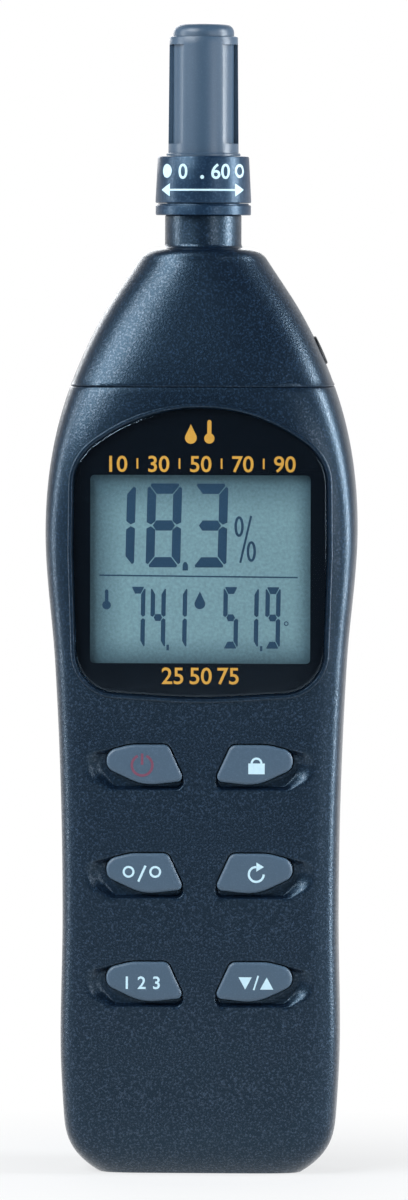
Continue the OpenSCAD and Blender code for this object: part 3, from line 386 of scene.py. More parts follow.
def ink(name, dark, light, roughness=0.5, specular=0.3):
    material, tree, shader, coords = start_material(name)
    fill_inputs(shader, {
        "Base Color": tones(tree, noise(tree, coords, 0.6), dark, light),
        "Roughness": roughness,
        "Specular IOR Level": specular,
    })
    return material


acrylic = clear_acrylic()
black_ink = ink("black_back_print", "#040b13", "#07101a", 0.5, 0.06)
amber_ink = ink("amber_ink", "#d79a35", "#e3ab4b")
pale_ink = ink("pale_blue_ink", "#b9d9e6", "#cbe6f0")
red_ink = ink("dull_red_ink", "#6d4155", "#7a4a5d")
segment_ink = ink("liquid_crystal_segment", "#27465f", "#2f4f68", 0.45)
print("acrylic and five inks")

# %% [markdown]
# ## The outer form
#
# Both halves of the case and the head are cut from one smooth body. It is described
# by its half width, its depth to the front and to the back, and the squareness of its
# corners, each at a few heights. A smooth curve through those stations gives the
# values between them, and a superellipse gives the section. The CAD model uses the
# same stations with few steps, and here the steps are as fine as the render needs.

# %% Stations and sections
SEAM_Z = 154.2
FOOT_H = 12
WIDTHS = [
    (0, 26.0), (27, 27.35), (50, 27.0), (100, 28.5),
    (126, 30.5), (SEAM_Z, 25.85), (168.2, 19.45), (179, 12.5),
]
FRONT_DEPTHS = [
    (0, 14.5), (27, 15.3), (88, 16.5), (100, 16.9),
    (140.2, 16.9), (SEAM_Z, 15.9), (168.2, 12.9), (179, 10.2),
]
BACK_DEPTHS = [(0, 15.5), (27, 16.3), (126, 17.2), (SEAM_Z, 16.0), (168.2, 13.5), (179, 10.2)]
FRONT_SQUARENESS = [(0, 6), (27, 9), (100, 9), (126, 7.5), (SEAM_Z, 4.2), (168.2, 3.1), (179, 2.3)]
BACK_SQUARENESS = [(0, 4.6), (27, 5), (126, 4.4), (SEAM_Z, 3.6), (168.2, 2.9), (179, 2.3)]
FRONT = -1
BACK = 1


def slope(stations, i):
    """Slope at a station, level where the stations turn back, so nothing overshoots."""
    last = len(stations) - 1
    a = max(0, min(i, last - 1))
    rise = (stations[a + 1][1] - stations[a][1]) / (stations[a + 1][0] - stations[a][0])
    if i in (0, last):
        return rise
    before = stations[i][0] - stations[i - 1][0]
    after = stations[i + 1][0] - stations[i][0]
    rise_before = (stations[i][1] - stations[i - 1][1]) / before
    if rise_before * rise <= 0:
        return 0
    return (rise_before * after + rise * before) / (before + after)


def curve(stations, z):
    """A smooth curve through the stations, which runs on for a bit past the last one."""
    i = max([0] + [k for k in range(1, len(stations) - 1) if z > stations[k][0]])
    h = stations[i + 1][0] - stations[i][0]
    t = max(0, min(1.4, (z - stations[i][0]) / h))
    return (
        stations[i][1] * (2 * t**3 - 3 * t**2 + 1)
        + stations[i + 1][1] * (3 * t**2 - 2 * t**3)
        + h * slope(stations, i) * (t**3 - 2 * t**2 + t)
        + h * slope(stations, i + 1) * (t**3 - t**2)
    )


def foot_in(z, amount):
    return amount * (1 - z / FOOT_H) ** 3 if z < FOOT_H else 0


def half_width(z):
    return curve(WIDTHS, z) - foot_in(z, 6)


def depth(z, side):
    return curve(FRONT_DEPTHS if side == FRONT else BACK_DEPTHS, z) - foot_in(z, 4.5)


def squareness(z, side):
    return curve(FRONT_SQUARENESS if side == FRONT else BACK_SQUARENESS, z)


def skin_y(x, z, side):
    n = squareness(z, side)
    return side * depth(z, side) * max(0, 1 - min(1, abs(x) / half_width(z)) ** n) ** (1 / n)


def half_section(z, inset, side, deep_inset=None):
    """Fine points of one half of the section, from one end of the parting line to the other."""
    power = 2 / squareness(z, side)
    wide = half_width(z) - inset
    deep = depth(z, side) - (inset if deep_inset is None else deep_inset)
    points = []
    for degree in range(0, 181):
        a = math.radians(degree)
        c = math.cos(a)
        x = wide * math.copysign(abs(c) ** power, c) * -side
        points.append((x, side * deep * abs(math.sin(a)) ** power, z))
    points[0] = (wide * -side, 0, z)
    points[-1] = (wide * side, 0, z)
    return points


def resample(points, count):
    """The same polyline through count points at equal distances."""
    lengths = [0]
    for a, b in zip(points, points[1:]):
        lengths.append(lengths[-1] + math.dist(a, b))
    result = []
    k = 0
    for i in range(count):
        want = lengths[-1] * i / (count - 1)
        while k < len(points) - 2 and lengths[k + 1] < want:
            k += 1
        span = lengths[k + 1] - lengths[k]
        t = (want - lengths[k]) / span if span else 0
        result.append(tuple(a + (b - a) * t for a, b in zip(points[k], points[k + 1])))
    return result


print("half width at the shoulders", round(half_width(126), 2), "mm")


# %% Outlines in the plane of the front
def corner(a, p, b, radius, steps):
    """Points of a fillet at the corner p between the neighbours a and b."""
    a, p, b = (Vector(v).to_2d() for v in (a, p, b))
    u = (a - p).normalized()
    v = (b - p).normalized()
    half = math.acos(max(-1, min(1, u.dot(v)))) / 2
    middle = p + (u + v).normalized() * radius / math.sin(half)
    start_at = p + u * radius / math.tan(half) - middle
    start = math.atan2(start_at.y, start_at.x)
    return [
        (
            middle.x + radius * math.cos(start + (math.pi - 2 * half) * i / steps),
            middle.y + radius * math.sin(start + (math.pi - 2 * half) * i / steps),
        )
        for i in range(steps + 1)
    ]


def rounded(corners, steps):
    n = len(corners)
    points = []
    for i in range(n):
        before, here, after = corners[i - 1][0], corners[i][0], corners[(i + 1) % n][0]
        points += corner(before, here, after, corners[i][1], steps)
    return points


def drawn_in(corners, d):
    """The same corners moved in by d, with their radii that much smaller."""
    n = len(corners)
    result = []
    for i in range(n):
        p = Vector(corners[i][0])
        u = (Vector(corners[i - 1][0]) - p).normalized()
        v = (Vector(corners[(i + 1) % n][0]) - p).normalized()
        half = math.acos(max(-1, min(1, u.dot(v)))) / 2
        moved = p + (u + v).normalized() * d / math.sin(half)
        result.append(((moved.x, moved.y), max(corners[i][1] - d, 0.25)))
    return result


def mirrored(points):
    return [(-x, z) for x, z in reversed(points)]


def at(points, x, z):
    return [(px + x, pz + z) for px, pz in points]


def box_corners(w, h, r):
    return [
        ((-w / 2, -h / 2), r), ((w / 2, -h / 2), r), ((w / 2, h / 2), r), ((-w / 2, h / 2), r)
    ]


def ring_at(points, y):
    """An outline of the front as a closed row of points at the depth y."""
    row = [(x, y, z) for x, z in points]
    return row + row[:1]


# %% [markdown]
# ## Wrapping, turning and cutting
#
# Three ways of making a body are used again and again. A grid primitive is wrapped on
# rows of points, as a sheet is wrapped on a form. A circle primitive is given the
# points of a profile and spun round the axis, as on a lathe. And a closed tool is
# taken away with a Boolean modifier, as a mill or an eroded insert would leave it.


# %% Wrapped grids and turned profiles
def in_edit_mode(obj, *steps):
    """Runs each step on the whole mesh in edit mode."""
    pick_only(obj)
    bpy.ops.object.mode_set(mode="EDIT")
    for step in steps:
        bpy.ops.mesh.select_all(action="SELECT")
        step()
    bpy.ops.object.mode_set(mode="OBJECT")
    return obj


def weld():
    bpy.ops.mesh.remove_doubles(threshold=0.002 * MM)


def face_outwards():
    bpy.ops.mesh.normals_make_consistent(inside=False)


def pick_rims():
    bpy.ops.mesh.select_all(action="DESELECT")
    bpy.ops.mesh.select_mode(type="EDGE")
    bpy.ops.mesh.select_non_manifold(
        extend=False, use_wire=False, use_boundary=True, use_multi_face=False,
        use_non_contiguous=False, use_verts=False,
    )


def close_ends():
    pick_rims()
    bpy.ops.mesh.edge_face_add()


def bridge_rims():
    pick_rims()
    bpy.ops.mesh.bridge_edge_loops()


def primitive(add, points, **settings):
    """A mesh primitive whose points are put in these places, in millimetres."""
    bpy.ops.object.select_all(action="DESELECT")
    add(**settings)
    obj = bpy.context.object
    obj.data.vertices.foreach_set("co", [c * MM for point in points for c in point])
    return obj


def wrapped_grid(rows, ends=False):
    """A grid primitive wrapped on rows of equally many points."""
    obj = primitive(
        bpy.ops.mesh.primitive_grid_add, [point for row in rows for point in row],
        x_subdivisions=len(rows[0]) - 1, y_subdivisions=len(rows) - 1,
    )
    steps = [weld, close_ends, face_outwards] if ends else [weld, face_outwards]
    return in_edit_mode(obj, *steps)


def spun(obj, degrees, steps):
    """Spins a profile round the probe's axis. The operator turns clockwise from above."""
    def turn():
        bpy.ops.mesh.spin(
            steps=steps, angle=math.radians(degrees), center=(0, 0, 0), axis=(0, 0, 1)
        )

    return in_edit_mode(obj, turn, weld, face_outwards)


def lathe(profile, segments=96):
    """Spins a closed profile of (radius, height) points all the way round."""
    points = [(r, 0, z) for r, z in profile]
    add = bpy.ops.mesh.primitive_circle_add
    obj = primitive(add, points, vertices=len(profile), fill_type="NOTHING")
    return spun(obj, 360, segments)


def sector(r0, r1, z0, z1, middle, width, steps=12):
    """A plane primitive set on edge and spun part of the way round."""
    start = math.radians(middle - width / 2)
    points = [
        (r * math.cos(start), r * math.sin(start), z) for z in (z0, z1) for r in (r0, r1)
    ]
    return spun(primitive(bpy.ops.mesh.primitive_plane_add, points), -width, steps)


def arc(x, z, r, start, end, steps=5):
    """Points of an arc, for roundings in a profile or an outline."""
    return [
        (
            x + r * math.cos(math.radians(start + (end - start) * i / steps)),
            z + r * math.sin(math.radians(start + (end - start) * i / steps)),
        )
        for i in range(steps + 1)
    ]


def slab(outline, y0, y1):
    """An outline of the front as a closed plate from y0 to y1."""
    return wrapped_grid([ring_at(outline, y0), ring_at(outline, y1)], ends=True)


def rod_y(x, z, r, y0, y1, segments=48):
    return slab(arc(x, z, r, 0, 360 - 360 / segments, segments - 1), y0, y1)


def block(x0, x1, y0, y1, z0, z1):
    """A cube primitive stretched between two corners; bevelled or merged by its user."""
    bpy.ops.object.select_all(action="DESELECT")
    bpy.ops.mesh.primitive_cube_add(size=1)
    obj = bpy.context.object
    size = Vector((x1 - x0, y1 - y0, z1 - z0)) * MM
    middle = Vector((x0 + x1, y0 + y1, z0 + z1)) * MM / 2
    obj.data.transform(Matrix.Translation(middle) @ Matrix.Diagonal((*size, 1)))
    return obj


def rounded_block(x0, x1, y0, y1, z0, z1, r, segments=3):
    obj = block(x0, x1, y0, y1, z0, z1)
    apply_modifier(obj, "BEVEL", width=r * MM, segments=segments, limit_method="NONE")
    return obj


print("helpers ready")

# %% [markdown]
# ## Front half of the case
#
# On the real object this is one injection moulding: a shell about 2 mm thick, with a
# raised lip round the display window, six scooped recesses for the keys and the holes
# that the keys come through. It could be sculpted from a cube with subdivision, but
# the long soft corners need exact curvature. So two grids, the outer and the inner
# skin, are wrapped on the sections and bridged along their rims. The lip is added and
# the scoops, holes and window are then milled out with closed tools.

# %% Display window and key outlines
WALL = 2.1
LENS_FRONT = -16.95
LENS_BACK = LENS_FRONT + 1.5
MASK_BACK = LENS_BACK + 0.12
LIP_FRONT = -17.15
LENS_CORNERS = [
    ((0, 93.4), 111), ((24.0, 94.9), 8.2), ((24.9, 121.8), 60), ((24.7, 140.2), 10),
    ((0, 158.16), 33.7), ((-24.7, 140.2), 10), ((-24.9, 121.8), 60), ((-24.0, 94.9), 8.2),
]
WINDOW_SIZE = (42.9, 36.7)
WINDOW_Z = 118.7

KEY_X = 10.8
KEY_ROWS = (80.7, 59.45, 38.2)
KEY_CORNERS = [
    ((-7.35, -0.85), 2.2), ((-0.2, -4.2), 10), ((7.93, -3.26), 1.1),
    ((4.7, 3.85), 1.6), ((-2.6, 3.85), 10), ((-7.35, 2.6), 2.4),
]
SCOOP_CORNERS = [
    ((-11.85, -2.75), 3.4), ((-6.75, -5.15), 5), ((8.7, -5.15), 1.7),
    ((4.95, 4.1), 1.7), ((-2.6, 4.1), 10), ((-11.85, 1.95), 2.6),
]
SCOOP_DEPTH = 1.5


def lens_outline(inset):
    return rounded(drawn_in(LENS_CORNERS, inset), 14)


def window_outline(inset):
    corners = drawn_in(box_corners(*WINDOW_SIZE, 0.8), inset)
    return at(rounded(corners, 4), 0, WINDOW_Z)


def key_outline(inset, side, z, corners=KEY_CORNERS, steps=8):
    outline = rounded(drawn_in(corners, inset), steps)
    return at(outline if side < 0 else mirrored(outline), side * KEY_X, z)


def scoop_outline(inset, side, z):
    return key_outline(inset, side, z, SCOOP_CORNERS, 10)


print("lens outline has", len(lens_outline(0)), "points")


# %% The two skins of a half
SEAM_ROUND = 0.28
FOOT_LEVELS = [FOOT_H * (i / 16) ** 1.6 for i in range(16)]
BODY_LEVELS = [FOOT_H + (SEAM_Z - SEAM_ROUND - FOOT_H) * i / 139 for i in range(140)]
SEAM_LEVELS = [
    (SEAM_Z - SEAM_ROUND * (1 - math.sin(a)), SEAM_ROUND * (1 - math.cos(a)))
    for a in (math.radians(30), math.radians(60), math.radians(90))
]
LEVELS = [(z, 0) for z in FOOT_LEVELS + BODY_LEVELS] + SEAM_LEVELS
BASE_SHARES = (0, 0.3, 0.6, 0.85, 0.985)
COLUMNS = 121
EDGE_ROUND = 0.14


def skin_rows(side):
    """The outer skin, from the middle of the base up to the seam."""
    first = resample(half_section(0, 0, side), COLUMNS)
    rows = [[(x * share, y * share, 0) for x, y, _ in first] for share in BASE_SHARES]
    for z, inset in LEVELS:
        row = resample(half_section(z, inset, side), COLUMNS)
        for end, inner in ((0, 1), (-1, -2)):
            x, y, level = row[end]
            row[end] = (math.copysign(abs(x) - EDGE_ROUND, x), 0, level)
            row[inner] = (x, side * EDGE_ROUND, level)
        rows.append(row)
    return rows


def room_rows(side):
    """The inner skin, one wall further in, with as many rows and columns."""
    first = resample(half_section(WALL, WALL, side), COLUMNS)
    rows = [[(x * share, y * share, WALL) for x, y, _ in first] for share in BASE_SHARES]
    for z, _ in LEVELS:
        level = min(WALL + (SEAM_Z - WALL) * z / SEAM_Z, SEAM_Z)
        rows.append(resample(half_section(level, WALL, side), COLUMNS))
    return rows


def half_shell(name, side):
    shell = join(name, [wrapped_grid(skin_rows(side)), wrapped_grid(room_rows(side))])
    return in_edit_mode(shell, bridge_rims, face_outwards)


front_case = half_shell("front_case_moulding", FRONT)
print("front shell", len(front_case.data.polygons), "faces")


# %% Lip, scoops and openings of the front
LIP_OUT = 0.92
LIP_IN = 0.12
LIP_ROUND = 0.3
LIP_ROOT = -14.6
lip_profile = [(LIP_OUT, LIP_ROOT)]
lip_profile += arc(LIP_OUT - LIP_ROUND, LIP_FRONT + LIP_ROUND, LIP_ROUND, 0, -90, 4)
lip_profile += [(LIP_IN - 0.3, LIP_FRONT), (LIP_IN - 0.3, LIP_ROOT)]
lip_rows = [ring_at(lens_outline(-out), y) for out, y in lip_profile]
cut(front_case, wrapped_grid(lip_rows + lip_rows[:1]), "UNION")


def lens_pocket():
    """The recess that the lens drops into, with a small round along its mouth."""
    profile = [
        (0.5, LIP_FRONT - 1.85), (0.28, LIP_FRONT - 0.03), (0.07, LIP_FRONT + 0.05),
        (0, LIP_FRONT + 0.25), (0, MASK_BACK),
    ]
    rows = [ring_at(lens_outline(-LIP_IN - wider), y) for wider, y in profile]
    return wrapped_grid(rows, ends=True)


SCOOP_WALL = 0.8
SCOOP_RUN = 3.3
SCOOP_RISE = 1.7
SCOOP_TURN = 5.5
SCOOP_END = 11.85


def scoop_tool(side, z):
    """A dish that follows the skin, steep under the key and gentle at its outer end."""
    rows = []
    for k in range(11):
        share = k / 10
        sink = SCOOP_DEPTH * (1 + math.cos(share * math.pi)) / 2
        row = []
        for px, pz in scoop_outline(SCOOP_WALL * (1 - share), side, z):
            outward = (side * px - KEY_X - SCOOP_TURN) / (SCOOP_END - SCOOP_TURN)
            outward = max(0, min(1, outward))
            px -= side * SCOOP_RUN * (1 - share) * outward
            if pz < z:
                pz = min(z, pz + SCOOP_RISE * (1 - share) * outward)
            row.append((px, skin_y(px, pz, FRONT) + sink, pz))
        rows.append(row + row[:1])
    for spread, lift in ((0.05, 0.12), (0.12, 0.9)):
        outline = scoop_outline(-spread, side, z)
        row = [(px, skin_y(px, pz, FRONT) - lift, pz) for px, pz in outline]
        rows.append(row + row[:1])
    return wrapped_grid(rows, ends=True)


scoops = [scoop_tool(side, z) for side in (-1, 1) for z in KEY_ROWS]
cut(front_case, join("front_pockets", [lens_pocket()] + scoops))
CUT_END = -10
holes = [slab(window_outline(-1), LIP_FRONT - 3, CUT_END)]
for side in (-1, 1):
    for z in KEY_ROWS:
        holes.append(slab(key_outline(-0.25, side, z), -depth(z, FRONT) - 0.5, CUT_END))
cut(front_case, join("front_holes", holes))
smooth(front_case)
finish_piece(front_case, "front_case_moulding", "case", eroded_abs, ["front_case"])


# %% [markdown]
# ## Head and neck
#
# The head is a second moulding that closes the top of the case. It narrows with the
# same skin, rounds over at its top and carries a round neck for the probe. One closed
# sheet makes it: its rows start at the spigot, run up the outer skin and over the neck,
# and come back down through the bore. The screws of the head go in from behind.

# %% Rows of the head
HEAD_EDGE_Z = 179.0
HEAD_ROUND = 2.1
DEEP_ROUND = 1.75
HEAD_Z = HEAD_EDGE_Z + HEAD_ROUND
NECK_R = 7.5
NECK_TOP = HEAD_Z + 6.5
NECK_FILLET = 0.9
NECK_BORE_R = 5.5
SPIGOT_H = 3.4
SPIGOT_T = 1.2
TUBE_R = NECK_R - 0.3
TUBE_ROOT = 177.6
TUBE_FOOT = 172.3
HEAD_COLUMNS = 161


def whole_section(z, inset, place_z=None, deep_inset=None):
    """A closed row round the head, with its section taken at z and put at place_z."""
    count = HEAD_COLUMNS // 2 + 1
    front_half = resample(half_section(z, inset, FRONT, deep_inset), count)
    back_half = resample(half_section(z, inset, BACK, deep_inset), count)
    level = z if place_z is None else place_z
    return [(x, y, level) for x, y, _ in front_half[:-1] + back_half]


def neck_ring(r, z):
    """A closed round row that starts at the same side as a section and runs the same way."""
    turns = [math.pi * 2 * i / (HEAD_COLUMNS - 1) for i in range(HEAD_COLUMNS)]
    return [(r * math.cos(a), -r * math.sin(a), z) for a in turns]


def head_rows():
    spigot_in = WALL + 0.25
    foot = SEAM_Z - SPIGOT_H
    rows = [whole_section(SEAM_Z, spigot_in, foot), whole_section(SEAM_Z, spigot_in, SEAM_Z)]
    for degrees in (90, 60, 30, 0):
        a = math.radians(degrees)
        inset = SEAM_ROUND * (1 - math.cos(a))
        rows.append(whole_section(SEAM_Z, inset, SEAM_Z + SEAM_ROUND * (1 - math.sin(a))))
    for i in range(1, 41):
        z = SEAM_Z + SEAM_ROUND + (HEAD_EDGE_Z - SEAM_Z - SEAM_ROUND) * i / 40
        rows.append(whole_section(z, 0))
    # The round takes over from the flank at the flank's own slope.
    start = math.atan(half_width(HEAD_EDGE_Z - 1) - half_width(HEAD_EDGE_Z))
    radius = HEAD_ROUND / (1 - math.sin(start))
    for k in range(1, 10):
        a = start + (math.pi / 2 - start) * k / 9
        inset = radius * (math.cos(start) - math.cos(a))
        deep_inset = DEEP_ROUND * (1 - math.cos(math.pi / 2 * k / 9))
        rise = radius * (math.sin(a) - math.sin(start))
        rows.append(whole_section(HEAD_EDGE_Z, inset, HEAD_EDGE_Z + rise, deep_inset))
    for r, z in arc(NECK_R + NECK_FILLET, HEAD_Z + NECK_FILLET, NECK_FILLET, 270, 180, 6):
        rows.append(neck_ring(r, z))
    rows += [neck_ring(NECK_R, NECK_TOP - 0.18), neck_ring(NECK_R - 0.18, NECK_TOP)]
    rows += [neck_ring(NECK_BORE_R, NECK_TOP), neck_ring(NECK_BORE_R, TUBE_FOOT)]
    rows += [neck_ring(TUBE_R, TUBE_FOOT), neck_ring(TUBE_R, TUBE_ROOT)]
    rows.append(whole_section(HEAD_EDGE_Z - 1, WALL, HEAD_EDGE_Z - 1))
    for z in (172, 166, 161, 157.5):
        rows.append(whole_section(z, WALL))
    rows.append(whole_section(SEAM_Z, spigot_in + SPIGOT_T, SEAM_Z + 1.5))
    rows.append(whole_section(SEAM_Z, spigot_in + SPIGOT_T, foot))
    return rows + rows[:1]


head = wrapped_grid(head_rows())
print("head", len(head.data.polygons), "faces")

# %% Screw bosses and port of the head
LUG_X = 11.5
HEAD_SCREW_Z = SEAM_Z + 7.5
HEAD_SEAT = skin_y(LUG_X, HEAD_SCREW_Z, BACK) - 1.3
PORT_Z = SEAM_Z + 7
PORT_SLOPE = (half_width(PORT_Z + 2) - half_width(PORT_Z - 2)) / 4
PORT_AXIS = math.radians(90) + math.atan(PORT_SLOPE)
PORT_PLACE = Matrix.Translation(Vector((half_width(PORT_Z), 0, PORT_Z)) * MM)
PORT_FRAME = PORT_PLACE @ Matrix.Rotation(PORT_AXIS, 4, "Y")
BOSS_R = 3.2


def in_port_frame(obj):
    obj.data.transform(PORT_FRAME)
    return obj


for side in (-1, 1):
    boss = rod_y(side * LUG_X, HEAD_SCREW_Z, BOSS_R, HEAD_SEAT - 2.6, HEAD_SEAT + 0.2)
    cut(head, boss, "UNION")
port_boss = lathe([(0, -WALL - 1.3), (3.7, -WALL - 1.3), (3.7, -0.9), (0, -0.9)], 48)
cut(head, in_port_frame(port_boss), "UNION")
bores = [rod_y(side * LUG_X, HEAD_SCREW_Z, 2.3, HEAD_SEAT, 25) for side in (-1, 1)]
port_cut = lathe([(0, -12), (1.9, -12), (1.9, -0.55), (3.1, -0.55), (3.1, 3), (0, 3)], 64)
cut(head, join("head_bores", bores + [in_port_frame(port_cut)]))
for side in (-1, 1):
    cut(head, rod_y(side * LUG_X, HEAD_SCREW_Z, 1.25, HEAD_SEAT - 6, HEAD_SEAT + 1, 32))
smooth(head)
finish_piece(head, "head_moulding", "case", eroded_abs, ["head_shell"])

# %% [markdown]
# The port in the right flank of the head is closed by a rubber plug. It is a turned
# shape with a thumb groove in its rim. It is spun upright and then tilted into the
# port's own frame, whose axis is square to the flank.

# %% Port plug
plug = lathe(
    [(0, -4.6), (1.45, -4.6), (1.75, -4.3), (1.75, -0.45), (2.95, -0.45)]
    + arc(2.65, 0.1, 0.3, 0, 90, 4)
    + [(1.5, 0.45), (0, 0.45)],
    64,
)
groove = lathe([(0, -1.2), (0.55, -1.2), (0.55, 1.2), (0, 1.2)], 24)
groove.data.transform(
    Matrix.Translation(Vector((0, 2.95, 0.5)) * MM) @ Matrix.Rotation(math.pi / 2, 4, "Y")
)
cut(plug, groove)
smooth(in_port_frame(plug), 40)
finish_piece(plug, "port_plug_rubber", "plug", black_rubber, ["port_plug"])


# %% [markdown]
# ## Probe: fixed ring, cage and turning guard
#
# The guard is one moulding of a collar and a slotted sleeve. Turned by 60 degrees, its
# three slots come over the three windows of the cage inside, and air reaches the
# sensor. All of these are round, so each is a profile spun on the axis, and the slots
# and windows are cut by spun sectors.

# %% Fixed ring and barrel
RING_R = 9.35
RING_TOP = NECK_TOP + 2
CAGE_R = 5.95
GUARD_R = CAGE_R + 0.08
BARREL_R = 7.1
BARREL_TOP = RING_TOP + 3.8
RIM_R = 8.95
RIM_H = 0.32
probe_base = lathe(
    [(4.2, HEAD_Z - 10.2), (6.8, HEAD_Z - 10.2), (6.8, HEAD_Z - 9), (5.46, HEAD_Z - 9)]
    + [(5.46, NECK_TOP), (RING_R - 0.18, NECK_TOP), (RING_R, NECK_TOP + 0.18)]
    + arc(RING_R - 0.25, RING_TOP - 0.25, 0.25, 0, 90, 4)
    + [(RIM_R, RING_TOP), (RIM_R - 0.1, RING_TOP + RIM_H), (BARREL_R, RING_TOP + RIM_H)]
    + [(BARREL_R, BARREL_TOP - 0.15), (BARREL_R - 0.15, BARREL_TOP)]
    + [(CAGE_R + 0.02, BARREL_TOP), (CAGE_R + 0.02, RING_TOP), (4.2, RING_TOP)],
    128,
)
stop = sector(BARREL_R - 0.5, BARREL_R + 1.3, RING_TOP - 0.5, RING_TOP + 1.1, 90, 10, 4)
cut(probe_base, stop, "UNION")
smooth(probe_base, 35)
finish_piece(probe_base, "probe_ring", "case", collar_abs, ["probe_base"])

# %% Cage with its windows
COLLAR_Z = RING_TOP + 0.4
SLEEVE_Z = COLLAR_Z + 9.2
SLEEVE_TOP = SLEEVE_Z + 23.4
PROBE_TOP = SLEEVE_TOP + 2.4
WINDOW_LOW = SLEEVE_Z + 2.4
WINDOW_HIGH = SLEEVE_TOP - 1.6
WINDOW_ARC = 50
DOME_ROUND = 1.7
RIB = 1.2
cage = lathe(
    [(CAGE_R - 1, RING_TOP), (CAGE_R, RING_TOP)]
    + arc(CAGE_R - DOME_ROUND, PROBE_TOP - DOME_ROUND, DOME_ROUND, 0, 90, 9)
    + [(2, PROBE_TOP + 0.02), (0, PROBE_TOP + 0.03)]
    + [(0, WINDOW_HIGH + 1), (CAGE_R - 1, WINDOW_HIGH + 1)],
    128,
)
middle = (WINDOW_LOW + WINDOW_HIGH) / 2
cage_cuts = []
for angle in (30, 150, 270):
    for low, high in ((WINDOW_LOW, middle - RIB / 2), (middle + RIB / 2, WINDOW_HIGH)):
        cage_cuts.append(sector(CAGE_R - 2.2, CAGE_R + 1, low, high, angle, WINDOW_ARC))
cut(cage, join("cage_windows", cage_cuts))
smooth(cage, 35)
finish_piece(cage, "sensor_cage_moulding", "case", probe_abs, ["sensor_cage"])

# %% Guard: collar and slotted sleeve
COLLAR_R = 9.4
COLLAR_TOP_R = 8.95
SLEEVE_R = 6.9
SLEEVE_TOP_R = 6.7
STEP_R = SLEEVE_R + 0.35
BORE_R = BARREL_R + 0.08
CUT_TOP = BARREL_TOP + 0.67 + 0.57 + 0.35
guard = lathe(
    [(GUARD_R, CUT_TOP), (BORE_R, CUT_TOP), (BORE_R, COLLAR_Z), (COLLAR_R - 0.25, COLLAR_Z)]
    + [(COLLAR_R - 0.07, COLLAR_Z + 0.07), (COLLAR_R, COLLAR_Z + 0.25)]
    + [(COLLAR_TOP_R + 0.01, SLEEVE_Z - 0.42), (COLLAR_TOP_R - 0.11, SLEEVE_Z - 0.13)]
    + [(COLLAR_TOP_R - 0.42, SLEEVE_Z), (STEP_R, SLEEVE_Z), (STEP_R, SLEEVE_Z + 0.42)]
    + [(STEP_R - 0.08, SLEEVE_Z + 0.52), (SLEEVE_R, SLEEVE_Z + 0.6)]
    + [(SLEEVE_R - 0.02, WINDOW_LOW), (SLEEVE_TOP_R + 0.01, WINDOW_HIGH)]
    + [(SLEEVE_TOP_R, SLEEVE_TOP - 0.28), (SLEEVE_TOP_R - 0.09, SLEEVE_TOP - 0.09)]
    + [(SLEEVE_TOP_R - 0.28, SLEEVE_TOP), (GUARD_R + 0.1, SLEEVE_TOP)]
    + [(GUARD_R, SLEEVE_TOP - 0.1), (GUARD_R, WINDOW_HIGH), (GUARD_R, WINDOW_LOW)],
    136,
)
slots = []
for angle in (90, 210, 330):
    slots.append(sector(GUARD_R - 1, 10, WINDOW_LOW, WINDOW_HIGH, angle, WINDOW_ARC))
stop_room = sector(BARREL_R - 0.5, BARREL_R + 1.5, COLLAR_Z - 1, RING_TOP + 1.35, 60, 72, 24)
cut(guard, join("guard_slots", slots + [stop_room]))
smooth(guard, 35)
finish_piece(guard, "guard_moulding", "guard", probe_abs, ["guard_sleeve"])
# The collar has the finish of the fixed ring below it, and the sleeve that of the cage.
guard.data.materials.append(collar_abs)
for polygon in guard.data.polygons:
    polygon.material_index = 1 if polygon.center.z < SLEEVE_Z * MM else 0


# %% [markdown]
# ## Keys
#
# Each key is a moulded cap with a soft edge, and a flange behind the panel that keeps
# it in. The outline has a blunt nose outside and a slanted side inside, and the right
# column mirrors the left one. The cap is a stack of outlines drawn in step by step, so
# its edge rounds evenly all the way round, and its face is very slightly crowned.

# %% Six keys
KEY_PROUD = 0.35
FLANGE_FRONT = -11.85
KEY_BACK = -11.25
KEY_ROUND = 0.75
KEY_ROUND_DEEP = 0.55
KEYS = [
    ("power", -1, 0), ("unit", -1, 1), ("mode", -1, 2),
    ("hold", 1, 0), ("reset", 1, 1), ("minmax", 1, 2),
]


def key_face_y(row):
    return -depth(KEY_ROWS[row], FRONT) - KEY_PROUD


for name, side, row in KEYS:
    z = KEY_ROWS[row]
    face = key_face_y(row)
    stack = [(-0.9, KEY_BACK), (-0.9, FLANGE_FRONT), (0, FLANGE_FRONT)]
    for degrees in (0, 15, 30, 45, 60, 75, 90):
        a = math.radians(degrees)
        y = face + 0.05 + KEY_ROUND_DEEP * (1 - math.sin(a))
        stack.append((KEY_ROUND * (1 - math.cos(a)), y))
    rows = [ring_at(key_outline(d, side, z), y) for d, y in stack]
    for share, crown in ((0.82, 0.02), (0.5, 0)):
        rows.append([
            (side * KEY_X + (px - side * KEY_X) * share, face + crown, z + (pz - z) * share)
            for px, _, pz in rows[-1]
        ])
    key = wrapped_grid(rows, ends=True)
    smooth(key, 40)
    body = name + "_key"
    finish_piece(key, name + "_key_cap", body, key_abs, [body])


# %% [markdown]
# ## Display: lens, print and liquid-crystal cell
#
# The lens is a clear plate with a small bevel all round, dropped into the recess of
# the case. A black print on its back hides everything but the window. Behind it sits
# the liquid-crystal cell on its reflector, a pale blue-grey with shade painted into its
# colour along all four edges, deepest at the top and the left, where its frame shades it.

# %% Lens and its back print
lens_stack = [(0.05, LENS_BACK), (0.05, LENS_FRONT + 0.4), (0.12, LENS_FRONT + 0.24)]
lens_stack += [(0.26, LENS_FRONT + 0.1), (0.46, LENS_FRONT + 0.015), (0.7, LENS_FRONT)]
lens = wrapped_grid([ring_at(lens_outline(d), y) for d, y in lens_stack], ends=True)
smooth(lens, 30)
finish_piece(lens, "lens_plate", "case", acrylic, ["display_lens"])

